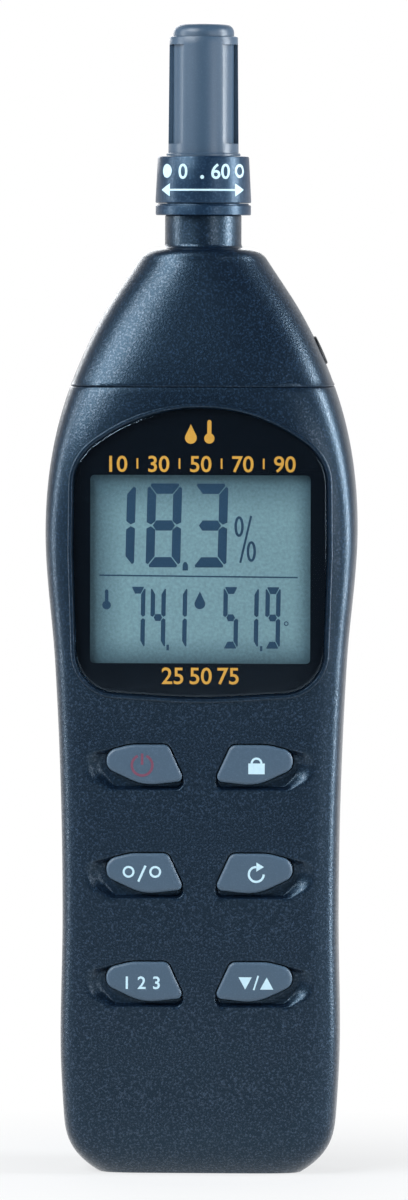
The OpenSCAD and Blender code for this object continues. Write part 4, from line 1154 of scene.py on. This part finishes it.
mask = slab(lens_outline(0.15), LENS_BACK + 0.01, MASK_BACK)
cut(mask, slab(window_outline(0), LENS_BACK - 1, MASK_BACK + 1))
smooth(mask, 30)
finish_piece(mask, "lens_print", "case", black_ink, ["lens_mask"])


# %% Liquid-crystal cell material
def liquid_crystal():
    """A reflective cell: grey-blue, with shade painted into its colour at its edges, furthest in
    at the top and left.
    """
    material, tree, shader, coords = start_material("liquid_crystal_cell")
    place = add_node(tree, "ShaderNodeSeparateXYZ", {0: coords}).outputs
    half_w, half_h = (size / 2 for size in WINDOW_SIZE)
    # Painted shade: the colour darkens towards each edge of the window, most at the top and left,
    # where the frame shades the cell.
    lit = 1.0
    for axis, edge, reach in (
        ("X", -half_w, 8), ("X", half_w, -4),
        ("Z", WINDOW_Z + half_h, -9), ("Z", WINDOW_Z - half_h, 6),
    ):
        painted_edge_shade = ramp(
            tree, place[axis], edge * MM, (edge + reach) * MM, 0.3,
            interpolation_type="SMOOTHSTEP",
        )
        lit = maths(tree, "MULTIPLY", lit, painted_edge_shade)
    speckle = ramp(tree, noise(tree, coords, 0.55), 0.3, 0.7, 0.86, 1.1)
    # The darker tone is the painted shade along the edges.
    colour = tones(tree, lit, "#4c6773", "#8aa9ae")
    bright = add_node(tree, "ShaderNodeHueSaturation", {"Value": speckle, "Color": colour})
    fill_inputs(shader, {
        "Base Color": bright.outputs[0], "Roughness": 0.5, "Specular IOR Level": 0.2
    })
    return material


cell_colour_and_painted_shade = liquid_crystal()
print("cell finish ready")

# %% [markdown]
# ## Prints
#
# The segments of the display and the prints on the lens, the keys and the collar are
# thin films of ink. Each is drawn as flat outlines on a 2D curve, which fills them and
# keeps their holes, gives them a film's thickness and turns into a mesh. Strokes are
# outlines drawn on both sides of a line. Signs are plain pictures and numbers.


# %% Outlines, strokes and signs
def stroke(points, width, closed=False):
    """Outlines of a line of that width: one for an open line, two for a closed one."""
    n = len(points)
    left, right = [], []
    for i in range(n):
        before = Vector(points[i - 1] if closed or i else points[i])
        after = Vector(points[(i + 1) % n] if closed or i < n - 1 else points[i])
        along = (after - before).normalized()
        side = Vector((-along.y, along.x)) * width / 2
        here = Vector(points[i])
        left.append(tuple(here + side))
        right.append(tuple(here - side))
    if closed:
        return [left, right[::-1]]
    return [left + right[::-1]]


def ring_sign(x, z, r, width, stretch=1.0):
    points = [(px, z + (pz - z) * stretch) for px, pz in arc(x, z, r, 0, 345, 23)]
    return stroke(points, width, closed=True)


def dot(x, z, r):
    return [arc(x, z, r, 0, 345, 23)]


def bar(x0, x1, z0, z1):
    return [[(x0, z0), (x1, z0), (x1, z1), (x0, z1)]]


def as_mesh(data):
    """Puts a curve or a text in the scene and turns it into a mesh."""
    obj = bpy.data.objects.new(data.name, data)
    scene.collection.objects.link(obj)
    pick_only(obj)
    bpy.ops.object.convert(target="MESH")
    return bpy.context.object


def stood_up(obj, x, y, z):
    """Turns a film that lies flat upright and puts it in its place."""
    place = Matrix.Translation(Vector((x, y, z)) * MM)
    obj.data.transform(place @ Matrix.Rotation(math.pi / 2, 4, "X"))
    return in_edit_mode(obj, weld, face_outwards)


def printed(outlines, y, film=0.03):
    """Flat outlines of the front as a film of ink whose face is at the depth y."""
    data = bpy.data.curves.new("print", "CURVE")
    data.dimensions = "2D"
    data.fill_mode = "BOTH"
    data.extrude = film * MM / 2
    for outline in outlines:
        spline = data.splines.new("POLY")
        spline.points.add(len(outline) - 1)
        spline.points.foreach_set("co", [c for x, z in outline for c in (x * MM, z * MM, 0, 1)])
        spline.use_cyclic_u = True
    return stood_up(as_mesh(data), 0, y + film / 2, 0)


# Size of the font over the height of its figures
SIZE_PER_HEIGHT = 1.38


def number(text, x, z, height, y, film=0.03):
    """A number in Blender's own font, drawn a little bolder and centred on a place."""
    data = bpy.data.curves.new("number", "FONT")
    data.body = text
    data.size = height * SIZE_PER_HEIGHT * MM
    data.align_x = "CENTER"
    data.offset = 0.05 * MM
    data.extrude = film * MM / 2
    data.resolution_u = 4
    return stood_up(as_mesh(data), x, y + film / 2, z - height / 2)


def drop_sign(x, z, r):
    """A water drop: a circle drawn out to a point."""
    return [[(x, z + 2.3 * r)] + arc(x, z, r, 150, 390, 16)]


def thermometer_sign(x, z, r):
    tube = [(x - 0.4 * r, z + 0.7 * r)] + arc(x, z, r, 114, 426, 18)
    tube += arc(x, z + 3.2 * r, 0.4 * r, 0, 180, 6)
    return [tube]


print("outline helpers ready")


# %% Segments of the display
def digit_outlines(figure, right, foot, width, height, upright, level, lean, gap):
    """The lit segments of one figure. Each has pointed ends and a thin gap to the next."""
    w, h, t, s, g = width, height, upright, level, gap
    c = t * 0.42
    shapes = {
        "top": [(c, h), (w - c, h), (w - c * 0.6 - g, h - c * 0.6), (w - t - g / 2, h - s),
                (t + g / 2, h - s), (c * 0.6 + g, h - c * 0.6)],
        "upper_right": [(w, h - c - g), (w, h / 2 + s * 0.3), (w - t / 2, h / 2 + g),
                        (w - t, h / 2 + s * 0.42), (w - t, h - s - g),
                        (w - c * 0.6, h - c * 0.6 - g)],
        "middle": [(t * 0.6 + g, h / 2), (t + g, h / 2 + s / 2), (w - t - g, h / 2 + s / 2),
                   (w - t * 0.6 - g, h / 2), (w - t - g, h / 2 - s / 2), (t + g, h / 2 - s / 2)],
    }
    shapes["upper_left"] = [(w - x, z) for x, z in shapes["upper_right"]]
    shapes["lower_right"] = [(x, h - z) for x, z in shapes["upper_right"]]
    shapes["lower_left"] = [(w - x, h - z) for x, z in shapes["upper_right"]]
    shapes["bottom"] = [(x, h - z) for x, z in shapes["top"]]
    right_side = ["upper_right", "lower_right"]
    lit = {
        "1": right_side,
        "3": right_side + ["top", "middle", "bottom"],
        "4": right_side + ["upper_left", "middle"],
        "5": ["top", "upper_left", "middle", "lower_right", "bottom"],
        "7": right_side + ["top"],
        "8": list(shapes),
        "9": [name for name in shapes if name != "lower_left"],
    }[figure]
    return [
        [(right - width + x + lean * z / h, foot + z) for x, z in shapes[name]] for name in lit
    ]


BIG = {"foot": 119.0, "width": 6.75, "height": 16.35, "upright": 1.72, "level": 2.0,
       "lean": 0.38, "gap": 0.17}
SMALL = {"foot": 103.2, "width": 2.95, "height": 12.0, "upright": 0.86, "level": 1.35,
         "lean": 0.18, "gap": 0.13}
segments = []
for figure, right in (("1", -12.97), ("8", -3.97), ("3", 5.02)):
    segments += digit_outlines(figure, right, **BIG)
for figure, right in (
    ("7", -10.87), ("4", -6.88), ("1", -2.71), ("5", 7.30), ("1", 11.25), ("9", 15.5)
):
    segments += digit_outlines(figure, right, **SMALL)
segments += [[(-3.5, 118.4), (-2.45, 118.4), (-2.45, 119.5), (-2.75, 120.05), (-3.2, 120.05),
              (-3.5, 119.5)]]
segments += bar(-6.6, -6.1, 102.8, 103.9) + bar(11.65, 12.1, 102.7, 103.7)
segments += ring_sign(7.5, 127.0, 0.66, 0.5, 2.7) + ring_sign(9.9, 122.15, 0.66, 0.5, 2.7)
segments += stroke([(7.75, 119.95), (9.85, 129.1)], 0.42)
segments += [[(-19.7, 117.28), (18.96, 116.96), (18.96, 117.24), (-19.7, 117.56)]]
segments += thermometer_sign(-18.3, 111.6, 0.85)
segments += drop_sign(-0.1, 111.9, 1.05)
segments += ring_sign(16.75, 108.1, 0.36, 0.2)
CELL_FRONT = -13.83
digits = printed(segments, CELL_FRONT - 0.02, film=0.02)
finish_piece(digits, "display_segments", "case", segment_ink, ())

# %% Amber print on the lens
PRINT_Y = LENS_BACK - 0.02
amber_parts = [printed(drop_sign(-1.9, 144.3, 1.15) + thermometer_sign(1.7, 144.2, 1.0), PRINT_Y)]
SCALE_PITCH = 8.2
for k in range(5):
    x = (k - 2) * SCALE_PITCH
    amber_parts.append(number(str(10 + 20 * k), x, 139.3, 3.2, PRINT_Y))
    if k < 4:
        tick = x + SCALE_PITCH / 2
        amber_parts.append(printed(bar(tick - 0.17, tick + 0.17, 138.3, 140.3), PRINT_Y))
for k, text in enumerate(("25", "50", "75")):
    amber_parts.append(number(text, -5.3 + 5.4 * k, 98.0, 3.3, PRINT_Y))
amber_print = join("amber_print", amber_parts)
finish_piece(amber_print, "lens_scale_print", "case", amber_ink, ())


# %% Signs on the keys
def key_sign(name, outlines, material, row, numbers=()):
    face = key_face_y(row) - 0.012
    parts = [printed(outlines, face)] if outlines else []
    for text, x, z, height in numbers:
        parts.append(number(text, x, z, height, face))
    sign = join(name + "_sign", parts)
    return finish_piece(sign, name + "_key_sign", name + "_key", material, ())


LEFT_X = -KEY_X - 0.4
RIGHT_X = KEY_X + 0.3
ROW_1, ROW_2, ROW_3 = (z - 0.2 for z in KEY_ROWS)
power = stroke(arc(LEFT_X, ROW_1, 2.0, 115, 425, 30), 0.5)
power += stroke([(LEFT_X, ROW_1 + 0.1), (LEFT_X, ROW_1 + 2.3)], 0.5)
key_sign("power", power, red_ink, 0)
units = ring_sign(LEFT_X - 2.6, ROW_2 + 0.4, 0.95, 0.42)
units += ring_sign(LEFT_X + 2.6, ROW_2 + 0.4, 0.95, 0.42)
units += stroke([(LEFT_X - 0.7, ROW_2 - 1.5), (LEFT_X + 0.7, ROW_2 + 1.6)], 0.45)
key_sign("unit", units, pale_ink, 1)
modes = [(text, LEFT_X + 2.9 * k, ROW_3, 2.5) for k, text in ((-1, "1"), (0, "2"), (1, "3"))]
key_sign("mode", [], pale_ink, 2, modes)
lock = stroke(arc(RIGHT_X, ROW_1 + 0.45, 0.95, 0, 180, 14), 0.42)
lock += bar(RIGHT_X - 1.6, RIGHT_X + 1.6, ROW_1 - 1.65, ROW_1 + 0.45)
key_sign("hold", lock, pale_ink, 0)
again = stroke(arc(RIGHT_X, ROW_2, 1.45, 90, 360, 28), 0.45)
again += [at([(0.02, 2.35), (0.02, 0.55), (1.5, 1.45)], RIGHT_X, ROW_2)]
key_sign("reset", again, pale_ink, 1)
limits = [at([(-3.4, 1.1), (-2.1, -1.3), (-0.8, 1.1)], RIGHT_X, ROW_3)]
limits += [at([(0.8, -1.3), (3.4, -1.3), (2.1, 1.1)], RIGHT_X, ROW_3)]
limits += stroke([(RIGHT_X - 0.45, ROW_3 - 1.4), (RIGHT_X + 0.45, ROW_3 + 1.4)], 0.32)
key_sign("minmax", limits, pale_ink, 2)


# %% [markdown]
# The collar's print runs round it: a dot at 0 degrees for shut, a ring at 60 degrees
# for open, and an arrow along the way that the guard turns. It is printed flat first,
# sliced into narrow strips, and then every point is carried over to the collar's cone
# by its distance round it.

# %% Print round the collar
def collar_radius(z):
    share = (z - COLLAR_Z - 0.25) / (SLEEVE_Z - 0.42 - COLLAR_Z - 0.25)
    return COLLAR_R + (COLLAR_TOP_R + 0.01 - COLLAR_R) * share


ARROW_Z = 192.55
ARROW_HALF = 9.6
ARROW_HEAD = 2.6
SIGN_Z = 196.25
FILM = 0.04
FILM_LIFT = 0.06
STRIP = 0.45
neck_x = ARROW_HALF - ARROW_HEAD
upper_edge = [(-neck_x, 1.25), (-neck_x, 0.18), (neck_x, 0.18), (neck_x, 1.25)]
lower_edge = [(x, -z) for x, z in reversed(upper_edge)]
arrow = [(-ARROW_HALF, 0)] + upper_edge + [(ARROW_HALF, 0)] + lower_edge
collar_shapes = [at(arrow, 0, ARROW_Z)]
collar_shapes += dot(-7.9, SIGN_Z, 1.35) + dot(0, SIGN_Z - 1.2, 0.38)
collar_shapes += ring_sign(8.3, SIGN_Z, 1.1, 0.55)
collar_print = join("collar_print", [
    printed(collar_shapes, 0, FILM),
    number("0", -3.9, SIGN_Z, 3.0, 0, FILM),
    number("60", 3.7, SIGN_Z, 3.0, 0, FILM),
])


def slice_upright():
    for k in range(-22, 23):
        bpy.ops.mesh.select_all(action="SELECT")
        bpy.ops.mesh.bisect(
            plane_co=(k * STRIP * MM, 0, 0), plane_no=(1, 0, 0), threshold=0.001 * MM
        )


in_edit_mode(collar_print, slice_upright)
for vertex in collar_print.data.vertices:
    x, y, z = vertex.co / MM
    radius = collar_radius(z) + FILM_LIFT - y
    angle = x / collar_radius(z)
    vertex.co = Vector((radius * math.sin(angle), -radius * math.cos(angle), z)) * MM
finish_piece(collar_print, "collar_sign_print", "guard", pale_ink, ())

# %% [markdown]
# ## Rear half of the case
#
# The rear half is the second shell of the case. It holds the battery bay, whose tray,
# end walls and door seat are moulded with it, the posts of the four long screws, and
# two lugs for the screws of the head. It is wrapped like the front half, the tray and
# posts are added as solids, and the bay, the door's opening and the bores are cut.

# %% Battery bay measures
DOOR_Z = 10
DOOR_SIZE = (45.8, 51)
DOOR_MIDDLE = DOOR_Z + DOOR_SIZE[1] / 2
DOOR_GAP = 0.25
DOOR_REST = 11.76
BAY_FLOOR = 2.4
BAY_Z = DOOR_Z - 1
BAY_TOP = 60.05
BAY_HALF = 21.8
BAY_WALL = 1.4
TRAY_BACK = 12.2
TAB_X = 10.8
TAB_HALF = 2.2
HINGE_Y = depth(DOOR_Z, BACK) + 0.05
SCREW_PLACES = [(21.17, 145.2), (20.89, 72)]
SCREW_SEAT = 6
SCREW_SPOTS = [(side * x, z) for side in (-1, 1) for x, z in SCREW_PLACES]


def section_slab(z0, z1, inset):
    """A wall across the whole rear section."""
    halves = [half_section(z, inset, BACK) for z in (z0, z1)]
    return wrapped_grid([half + half[:1] for half in halves], ends=True)


def door_outline(spread):
    w, h = (size + 2 * spread for size in DOOR_SIZE)
    return at(rounded(box_corners(w, h, 3 + spread), 8), 0, DOOR_MIDDLE)


print("door", DOOR_SIZE, "mm, hinge at", round(HINGE_Y, 2), DOOR_Z)

# %% Shell with tray, posts and lugs
rear_case = half_shell("rear_case_moulding", BACK)
tray_out = BAY_HALF + BAY_WALL
low_z = BAY_Z - BAY_WALL
high_z = BAY_TOP + BAY_WALL
cut(rear_case, block(-tray_out, tray_out, BAY_FLOOR - BAY_WALL, TRAY_BACK, low_z, high_z), "UNION")
cut(rear_case, section_slab(low_z, BAY_Z, 1), "UNION")
cut(rear_case, section_slab(BAY_TOP, high_z, 1), "UNION")
for x, z in SCREW_SPOTS:
    post_end = skin_y(abs(x) + BOSS_R, z, BACK) - 0.5
    cut(rear_case, rod_y(x, z, BOSS_R, 0.1, post_end), "UNION")
LUG_HALF = 3.5
LUG_TOP = SEAM_Z + 9.8
LUG_FOOT = SEAM_Z - 12
LUG_BACK = skin_y(LUG_X + LUG_HALF, LUG_TOP, BACK) - WALL - 0.3
LUG_FRONT = LUG_BACK - 3.6
web_back = depth(SEAM_Z - 9, BACK) - 1.2
for side in (-1, 1):
    x0, x1 = side * LUG_X - LUG_HALF, side * LUG_X + LUG_HALF
    cut(rear_case, block(x0, x1, LUG_FRONT, web_back, LUG_FOOT, SEAM_Z - 4), "UNION")
    cut(rear_case, block(x0, x1, LUG_FRONT, LUG_BACK, LUG_FOOT, LUG_TOP), "UNION")
print("rear shell", len(rear_case.data.polygons), "faces")

# %% Bay, door opening, finger notch and bores
cut(rear_case, block(-BAY_HALF, BAY_HALF, BAY_FLOOR, 30, BAY_Z, BAY_TOP))
cut(rear_case, slab(door_outline(DOOR_GAP), DOOR_REST, 30))
bpy.ops.object.select_all(action="DESELECT")
bpy.ops.mesh.primitive_uv_sphere_add(
    segments=96, ring_count=48, radius=8 * MM,
    location=Vector((0, skin_y(0, BAY_TOP + 4, BACK) + 6.2, DOOR_Z + DOOR_SIZE[1] + 1)) * MM,
)
cut(rear_case, bpy.context.object)
for side in (-1, 1):
    x0, x1 = side * TAB_X - TAB_HALF - 0.3, side * TAB_X + TAB_HALF + 0.3
    cut(rear_case, block(x0, x1, HINGE_Y - 4, HINGE_Y - WALL, low_z - 0.1, DOOR_Z))
    cut(rear_case, rod_y(side * LUG_X, HEAD_SCREW_Z, 0.95, 0, 20, 24))
for x, z in SCREW_SPOTS:
    cut(rear_case, rod_y(x, z, 1.45, -1, SCREW_SEAT + 1, 32))
    cut(rear_case, rod_y(x, z, 2.65, SCREW_SEAT, 30, 64))
smooth(rear_case)
finish_piece(rear_case, "rear_case_moulding", "case", eroded_abs, ["rear_case"])

# %% [markdown]
# ## Battery door
#
# The door is a patch of the same skin, 1.8 mm thick, with a spring tongue between two
# slots, five grip ribs on it and two tabs at its foot that it swings on. Its outline
# is divided finely, drawn together towards its middle ring by ring, and each ring is
# laid on the skin, so that the door carries on the curve of the case all round.


# %% Patch, tongue, ribs and tabs
def skin_inside(x, z, inset):
    """Depth of the back's skin, or of a skin inside it, but never in front of the seat."""
    n = squareness(z, BACK)
    share = min(1, abs(x) / (half_width(z) - inset))
    return max(DOOR_REST + 0.1, (depth(z, BACK) - inset) * (1 - share**n) ** (1 / n))


def door_ring(draw, inset):
    """The door's outline drawn in towards its middle and laid on the skin."""
    kx, kz = (1 - draw / (size / 2) for size in DOOR_SIZE)
    places = [(x * kx, DOOR_MIDDLE + (z - DOOR_MIDDLE) * kz) for x, z in door_edge]
    return [(x, skin_inside(x, z, inset), z) for x, z in places]


edge = door_outline(0)
door_edge = resample(edge + edge[:1], 241)
DOOR_T = 1.8
DOOR_DRAWS = (0.8, 1.6, 2.6, 4, 6, 9, 13, 18, 22.4)
door_rows = [door_ring(draw, DOOR_T) for draw in DOOR_DRAWS[::-1] + (0,)]
door_rows += [door_ring(0, 0.25), door_ring(0.06, 0.08), door_ring(0.24, 0)]
door_rows += [door_ring(draw, 0) for draw in DOOR_DRAWS]
door = wrapped_grid(door_rows, ends=True)
door_top = DOOR_Z + DOOR_SIZE[1]
rib_y = depth(door_top - 3, BACK)
for k in range(5):
    z = door_top - 2.2 - 1.5 * k
    cut(door, rounded_block(-5, 5, rib_y - 0.5, rib_y + 0.35, z, z + 0.7, 0.22), "UNION")
for side in (-1, 1):
    x0, x1 = side * TAB_X - TAB_HALF, side * TAB_X + TAB_HALF
    tab = rounded_block(x0, x1, HINGE_Y - 3.5, HINGE_Y - 2.45, DOOR_Z - 1.6, DOOR_Z + 1.4, 0.15)
    cut(door, tab, "UNION")
    cut(door, block(x0, x1, HINGE_Y - 3.4, HINGE_Y - 1.2, DOOR_Z + 0.3, DOOR_Z + 0.62), "UNION")
    cut(door, block(side * 6 - 0.4, side * 6 + 0.4, DOOR_REST - 1, 22, door_top - 9, door_top + 1))
smooth(door)
finish_piece(door, "battery_door_moulding", "door", eroded_abs, ["battery_door"])

# %% [markdown]
# ## Metal and other small materials
#
# What lies inside shows when the door is open. Steel is a metal with a nickel plating
# whose roughness varies a little. The other finishes share one recipe, two close
# tones mixed by a noise of a real grain size with a bump from the same noise, and a
# few have stripes, such as the layered rubber of the contact strips.


# %% Finishes of the inner parts
def grained(name, dark, light, grain_mm, roughness, bump_mm=0.0, metallic=0.0):
    material, tree, shader, coords = start_material(name)
    grain = noise(tree, coords, grain_mm, 3.0)
    fill_inputs(shader, {
        "Base Color": tones(tree, grain, dark, light),
        "Roughness": ramp(tree, grain, 0, 1, roughness - 0.06, roughness + 0.06),
        "Metallic": metallic,
    })
    if bump_mm:
        fill_inputs(shader, {"Normal": relief(tree, grain, bump_mm)})
    return material


def striped(name, dark, light, pitch_mm, roughness):
    """Stripes across X. The wave texture repeats every pi/10 at scale 1."""
    material, tree, shader, coords = start_material(name)
    scale = math.pi / 10 / (pitch_mm * MM)
    values = {"bands_direction": "X", "Scale": scale, "Distortion": 0.3, "Vector": coords}
    wave = add_node(tree, "ShaderNodeTexWave", values).outputs["Fac"]
    fill_inputs(shader, {"Base Color": tones(tree, wave, dark, light), "Roughness": roughness})
    return material


nickel_steel = grained("nickel_plated_steel", "#a9abae", "#c6c8ca", 0.8, 0.3, 0.0, 1.0)
FINISHES = {
    grained("green_solder_mask", "#124a2d", "#1d6340", 2.5, 0.32, 0.02): [
        "main_board", "sensor_board"
    ],
    grained("moulded_epoxy_resin", "#15171a", "#202327", 0.15, 0.55, 0.01): ["processor_chip"],
    grained("grey_silicone_rubber", "#575d63", "#656b70", 0.5, 0.6, 0.02): ["keypad_mat"],
    striped("layered_contact_rubber", "#2c2a33", "#b96f84", 0.5, 0.6): ["zebra_strips"],
    grained("white_frame_abs", "#d3d4d2", "#e2e3e0", 0.4, 0.45, 0.01): ["lcd_frame"],
    grained("satin_reflector_foil", "#c3cac9", "#d5dbd9", 0.3, 0.35, 0.01): ["lcd_reflector"],
    grained("tan_capacitor_sleeve", "#a98f5c", "#c4ab76", 0.6, 0.4): ["board_components"],
    grained("porous_sensor_ceramic", "#cfcbbf", "#eae7de", 0.12, 0.7, 0.02): ["humidity_sensor"],
    grained("glazed_bead_resin", "#1c120e", "#33211a", 0.4, 0.15): ["thermistor_bead"],
    striped("grey_ribbon_lead", "#7f8589", "#b9bdc0", 0.6, 0.5): ["sensor_lead"],
    grained("red_pvc_sleeve", "#8d1f1b", "#a32a24", 0.7, 0.4): ["battery_leads"],
    grained("nickel_clock_can", "#b4b6b8", "#cdcfd0", 0.5, 0.25, 0.0, 1.0): ["clock_crystal"],
    nickel_steel: ["battery_plates", "board_screws"],
    black_rubber: ["friction_ring"],
    grained("black_socket_nylon", "#121416", "#1c1f22", 0.4, 0.5, 0.01): ["port_socket"],
    cell_colour_and_painted_shade: ["lcd_glass"],
}
for finish, names in FINISHES.items():
    for name in names:
        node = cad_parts[name]
        node.data.materials.clear()
        node.data.materials.append(finish)
print(len(FINISHES), "inner finishes on", sum(len(n) for n in FINISHES.values()), "nodes")

# %% [markdown]
# ## Cells, contact springs and screws
#
# A cell is a steel can, closed by a cap, in a printed sleeve that leaves both ends
# bare. It is turned once and copied, every second one upside down. The contact
# springs are conical coils, so a wire with a round section follows a rising and
# narrowing helix. The screws have a rounded pan head with a cross recess.


# %% Copies in the bay
def placed_copy(obj, x, y, z, turn):
    copy = obj.copy()
    copy.data = obj.data.copy()
    scene.collection.objects.link(copy)
    copy.data.transform(Matrix.Translation(Vector((x, y, z)) * MM) @ turn)
    return copy


def in_bay(obj, k, low, high):
    """A copy at place k of the bay: even ones stand at low, odd ones hang from high."""
    x = (k - 1.5) * CELL_PITCH
    if k % 2 == 0:
        return placed_copy(obj, x, CELL_Y, low, Matrix.Identity(4))
    return placed_copy(obj, x, CELL_Y, high, Matrix.Rotation(math.pi, 4, "X"))


# %% Four cells
CELL_R = 5.2
CELL_L = 43.7
CAP_L = 0.9
CELL_Y = BAY_FLOOR + CELL_R + 0.2
CELL_PITCH = 10.8
CELL_FOOT = 15.1
CELL_HEAD = 53.95
BARE_R = 4.55
BARE_END = 0.4
BAND_H = 0.9
can = (
    [(0, 0), (3.9, 0), (4.2, 0.12), (4.6, 0.12), (5.0, 0.3)]
    + arc(CELL_R - 0.35, 0.8, 0.35, 300, 360, 3)
    + arc(CELL_R - 0.3, CELL_L - 0.75, 0.3, 0, 70, 3)
    + [(4.5, CELL_L - 0.35), (4.2, CELL_L), (2.6, CELL_L), (2.1, CELL_L + 0.05)]
    + arc(1.6, CELL_L + CAP_L - 0.3, 0.3, 0, 90, 4)
    + [(0, CELL_L + CAP_L)]
)
first_cell = smooth(lathe(can, 64), 30)
sleeve_finish = grained("tan_printed_sleeve", "#8d6d3a", "#9d7c46", 1.5, 0.3)
band_finish = grained("dark_printed_band", "#2a2d31", "#34383c", 1.5, 0.3)
first_cell.data.materials.clear()
for material in (sleeve_finish, nickel_steel, band_finish):
    first_cell.data.materials.append(material)
for polygon in first_cell.data.polygons:
    z = polygon.center.z / MM
    r = math.hypot(polygon.center.x, polygon.center.y) / MM
    if r < BARE_R or not BARE_END < z < CELL_L - BARE_END:
        polygon.material_index = 1
    elif z > CELL_L - BAND_H:
        polygon.material_index = 2
for k in range(4):
    cell = in_bay(first_cell, k, CELL_FOOT, CELL_HEAD)
    cell.name = f"aaa_cell_{k + 1}"
    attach(cell, "case")
    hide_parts(f"battery_cell_{k + 1}")
bpy.data.objects.remove(first_cell)
print("four cells")

# %% Four contact springs
SPRING_H = 5.75
SPRING_WIRE = 0.5
SPRING_TURNS = 5
wire_path = []
for i in range(SPRING_TURNS * 16 + 1):
    t = i / (SPRING_TURNS * 16)
    rise = max(0, min(1, (t * SPRING_TURNS - 0.8) / (SPRING_TURNS - 1.6)))
    r = 2.85 - 1.0 * rise
    a = 2 * math.pi * t * SPRING_TURNS
    z = SPRING_WIRE / 2 + (SPRING_H - SPRING_WIRE) * rise
    wire_path.append((r * math.cos(a), r * math.sin(a), z))
wire = bpy.data.curves.new("spring", "CURVE")
wire.dimensions = "3D"
wire.bevel_depth = SPRING_WIRE / 2 * MM
wire.bevel_resolution = 2
wire.use_fill_caps = True
turns = wire.splines.new("POLY")
turns.points.add(len(wire_path) - 1)
turns.points.foreach_set("co", [c for p in wire_path for c in (*(v * MM for v in p), 1)])
spring = in_edit_mode(as_mesh(wire), weld, face_outwards)
springs = [in_bay(spring, k, BAY_Z + 0.3, BAY_TOP - 0.3) for k in range(4)]
bpy.data.objects.remove(spring)
contact_springs = smooth(join("contact_springs", springs), 60)
finish_piece(
    contact_springs, "contact_springs", "case", nickel_steel, ["battery_springs"]
)


# %% Screws of the case and of the head
def pan_head_screw(head_r, head_h, r, length):
    """A screw upright at the origin, its head above z 0."""
    profile = [(0, -length), (r * 0.5, -length), (r, -length + r), (r, 0), (head_r - 0.1, 0)]
    profile += [(head_r, 0.12), (head_r, head_h * 0.3)]
    for degrees in (20, 40, 60, 75):
        a = math.radians(degrees)
        profile.append((head_r * (0.25 + 0.75 * math.cos(a)), head_h * (0.3 + 0.7 * math.sin(a))))
    profile += [(head_r * 0.25, head_h), (0, head_h)]
    screw = lathe(profile, 48)
    half = head_r * 0.6
    slot = head_r * 0.13
    for x, y in ((half, slot), (slot, half)):
        cut(screw, block(-x, x, -y, y, head_h - 0.9, head_h + 1))
    return smooth(screw, 35)


def set_screws(name, node, screw, places):
    upright = Matrix.Rotation(-math.pi / 2, 4, "X")
    copies = [placed_copy(screw, *place, upright) for place in places]
    bpy.data.objects.remove(screw)
    return finish_piece(join(name, copies), name, "case", nickel_steel, [node])


case_spots = [(x, SCREW_SEAT, z) for x, z in SCREW_SPOTS]
head_spots = [(side * LUG_X, HEAD_SEAT, HEAD_SCREW_Z) for side in (-1, 1)]
set_screws("case_pan_screws", "case_screws", pan_head_screw(2.4, 1.7, 1.1, 14), case_spots)
set_screws("head_pan_screws", "head_screws", pan_head_screw(2.0, 0.9, 0.8, 5.5), head_spots)


# %% [markdown]
# ## Size of the dressed part
#
# The box round all that renders, but the floor, is printed in millimetres, to show how far the
# dressing reaches.

# %% Print the box of the dressed part
low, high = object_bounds()
print("visual box", [round(v / MM, 2) for v in (*low, *high)])
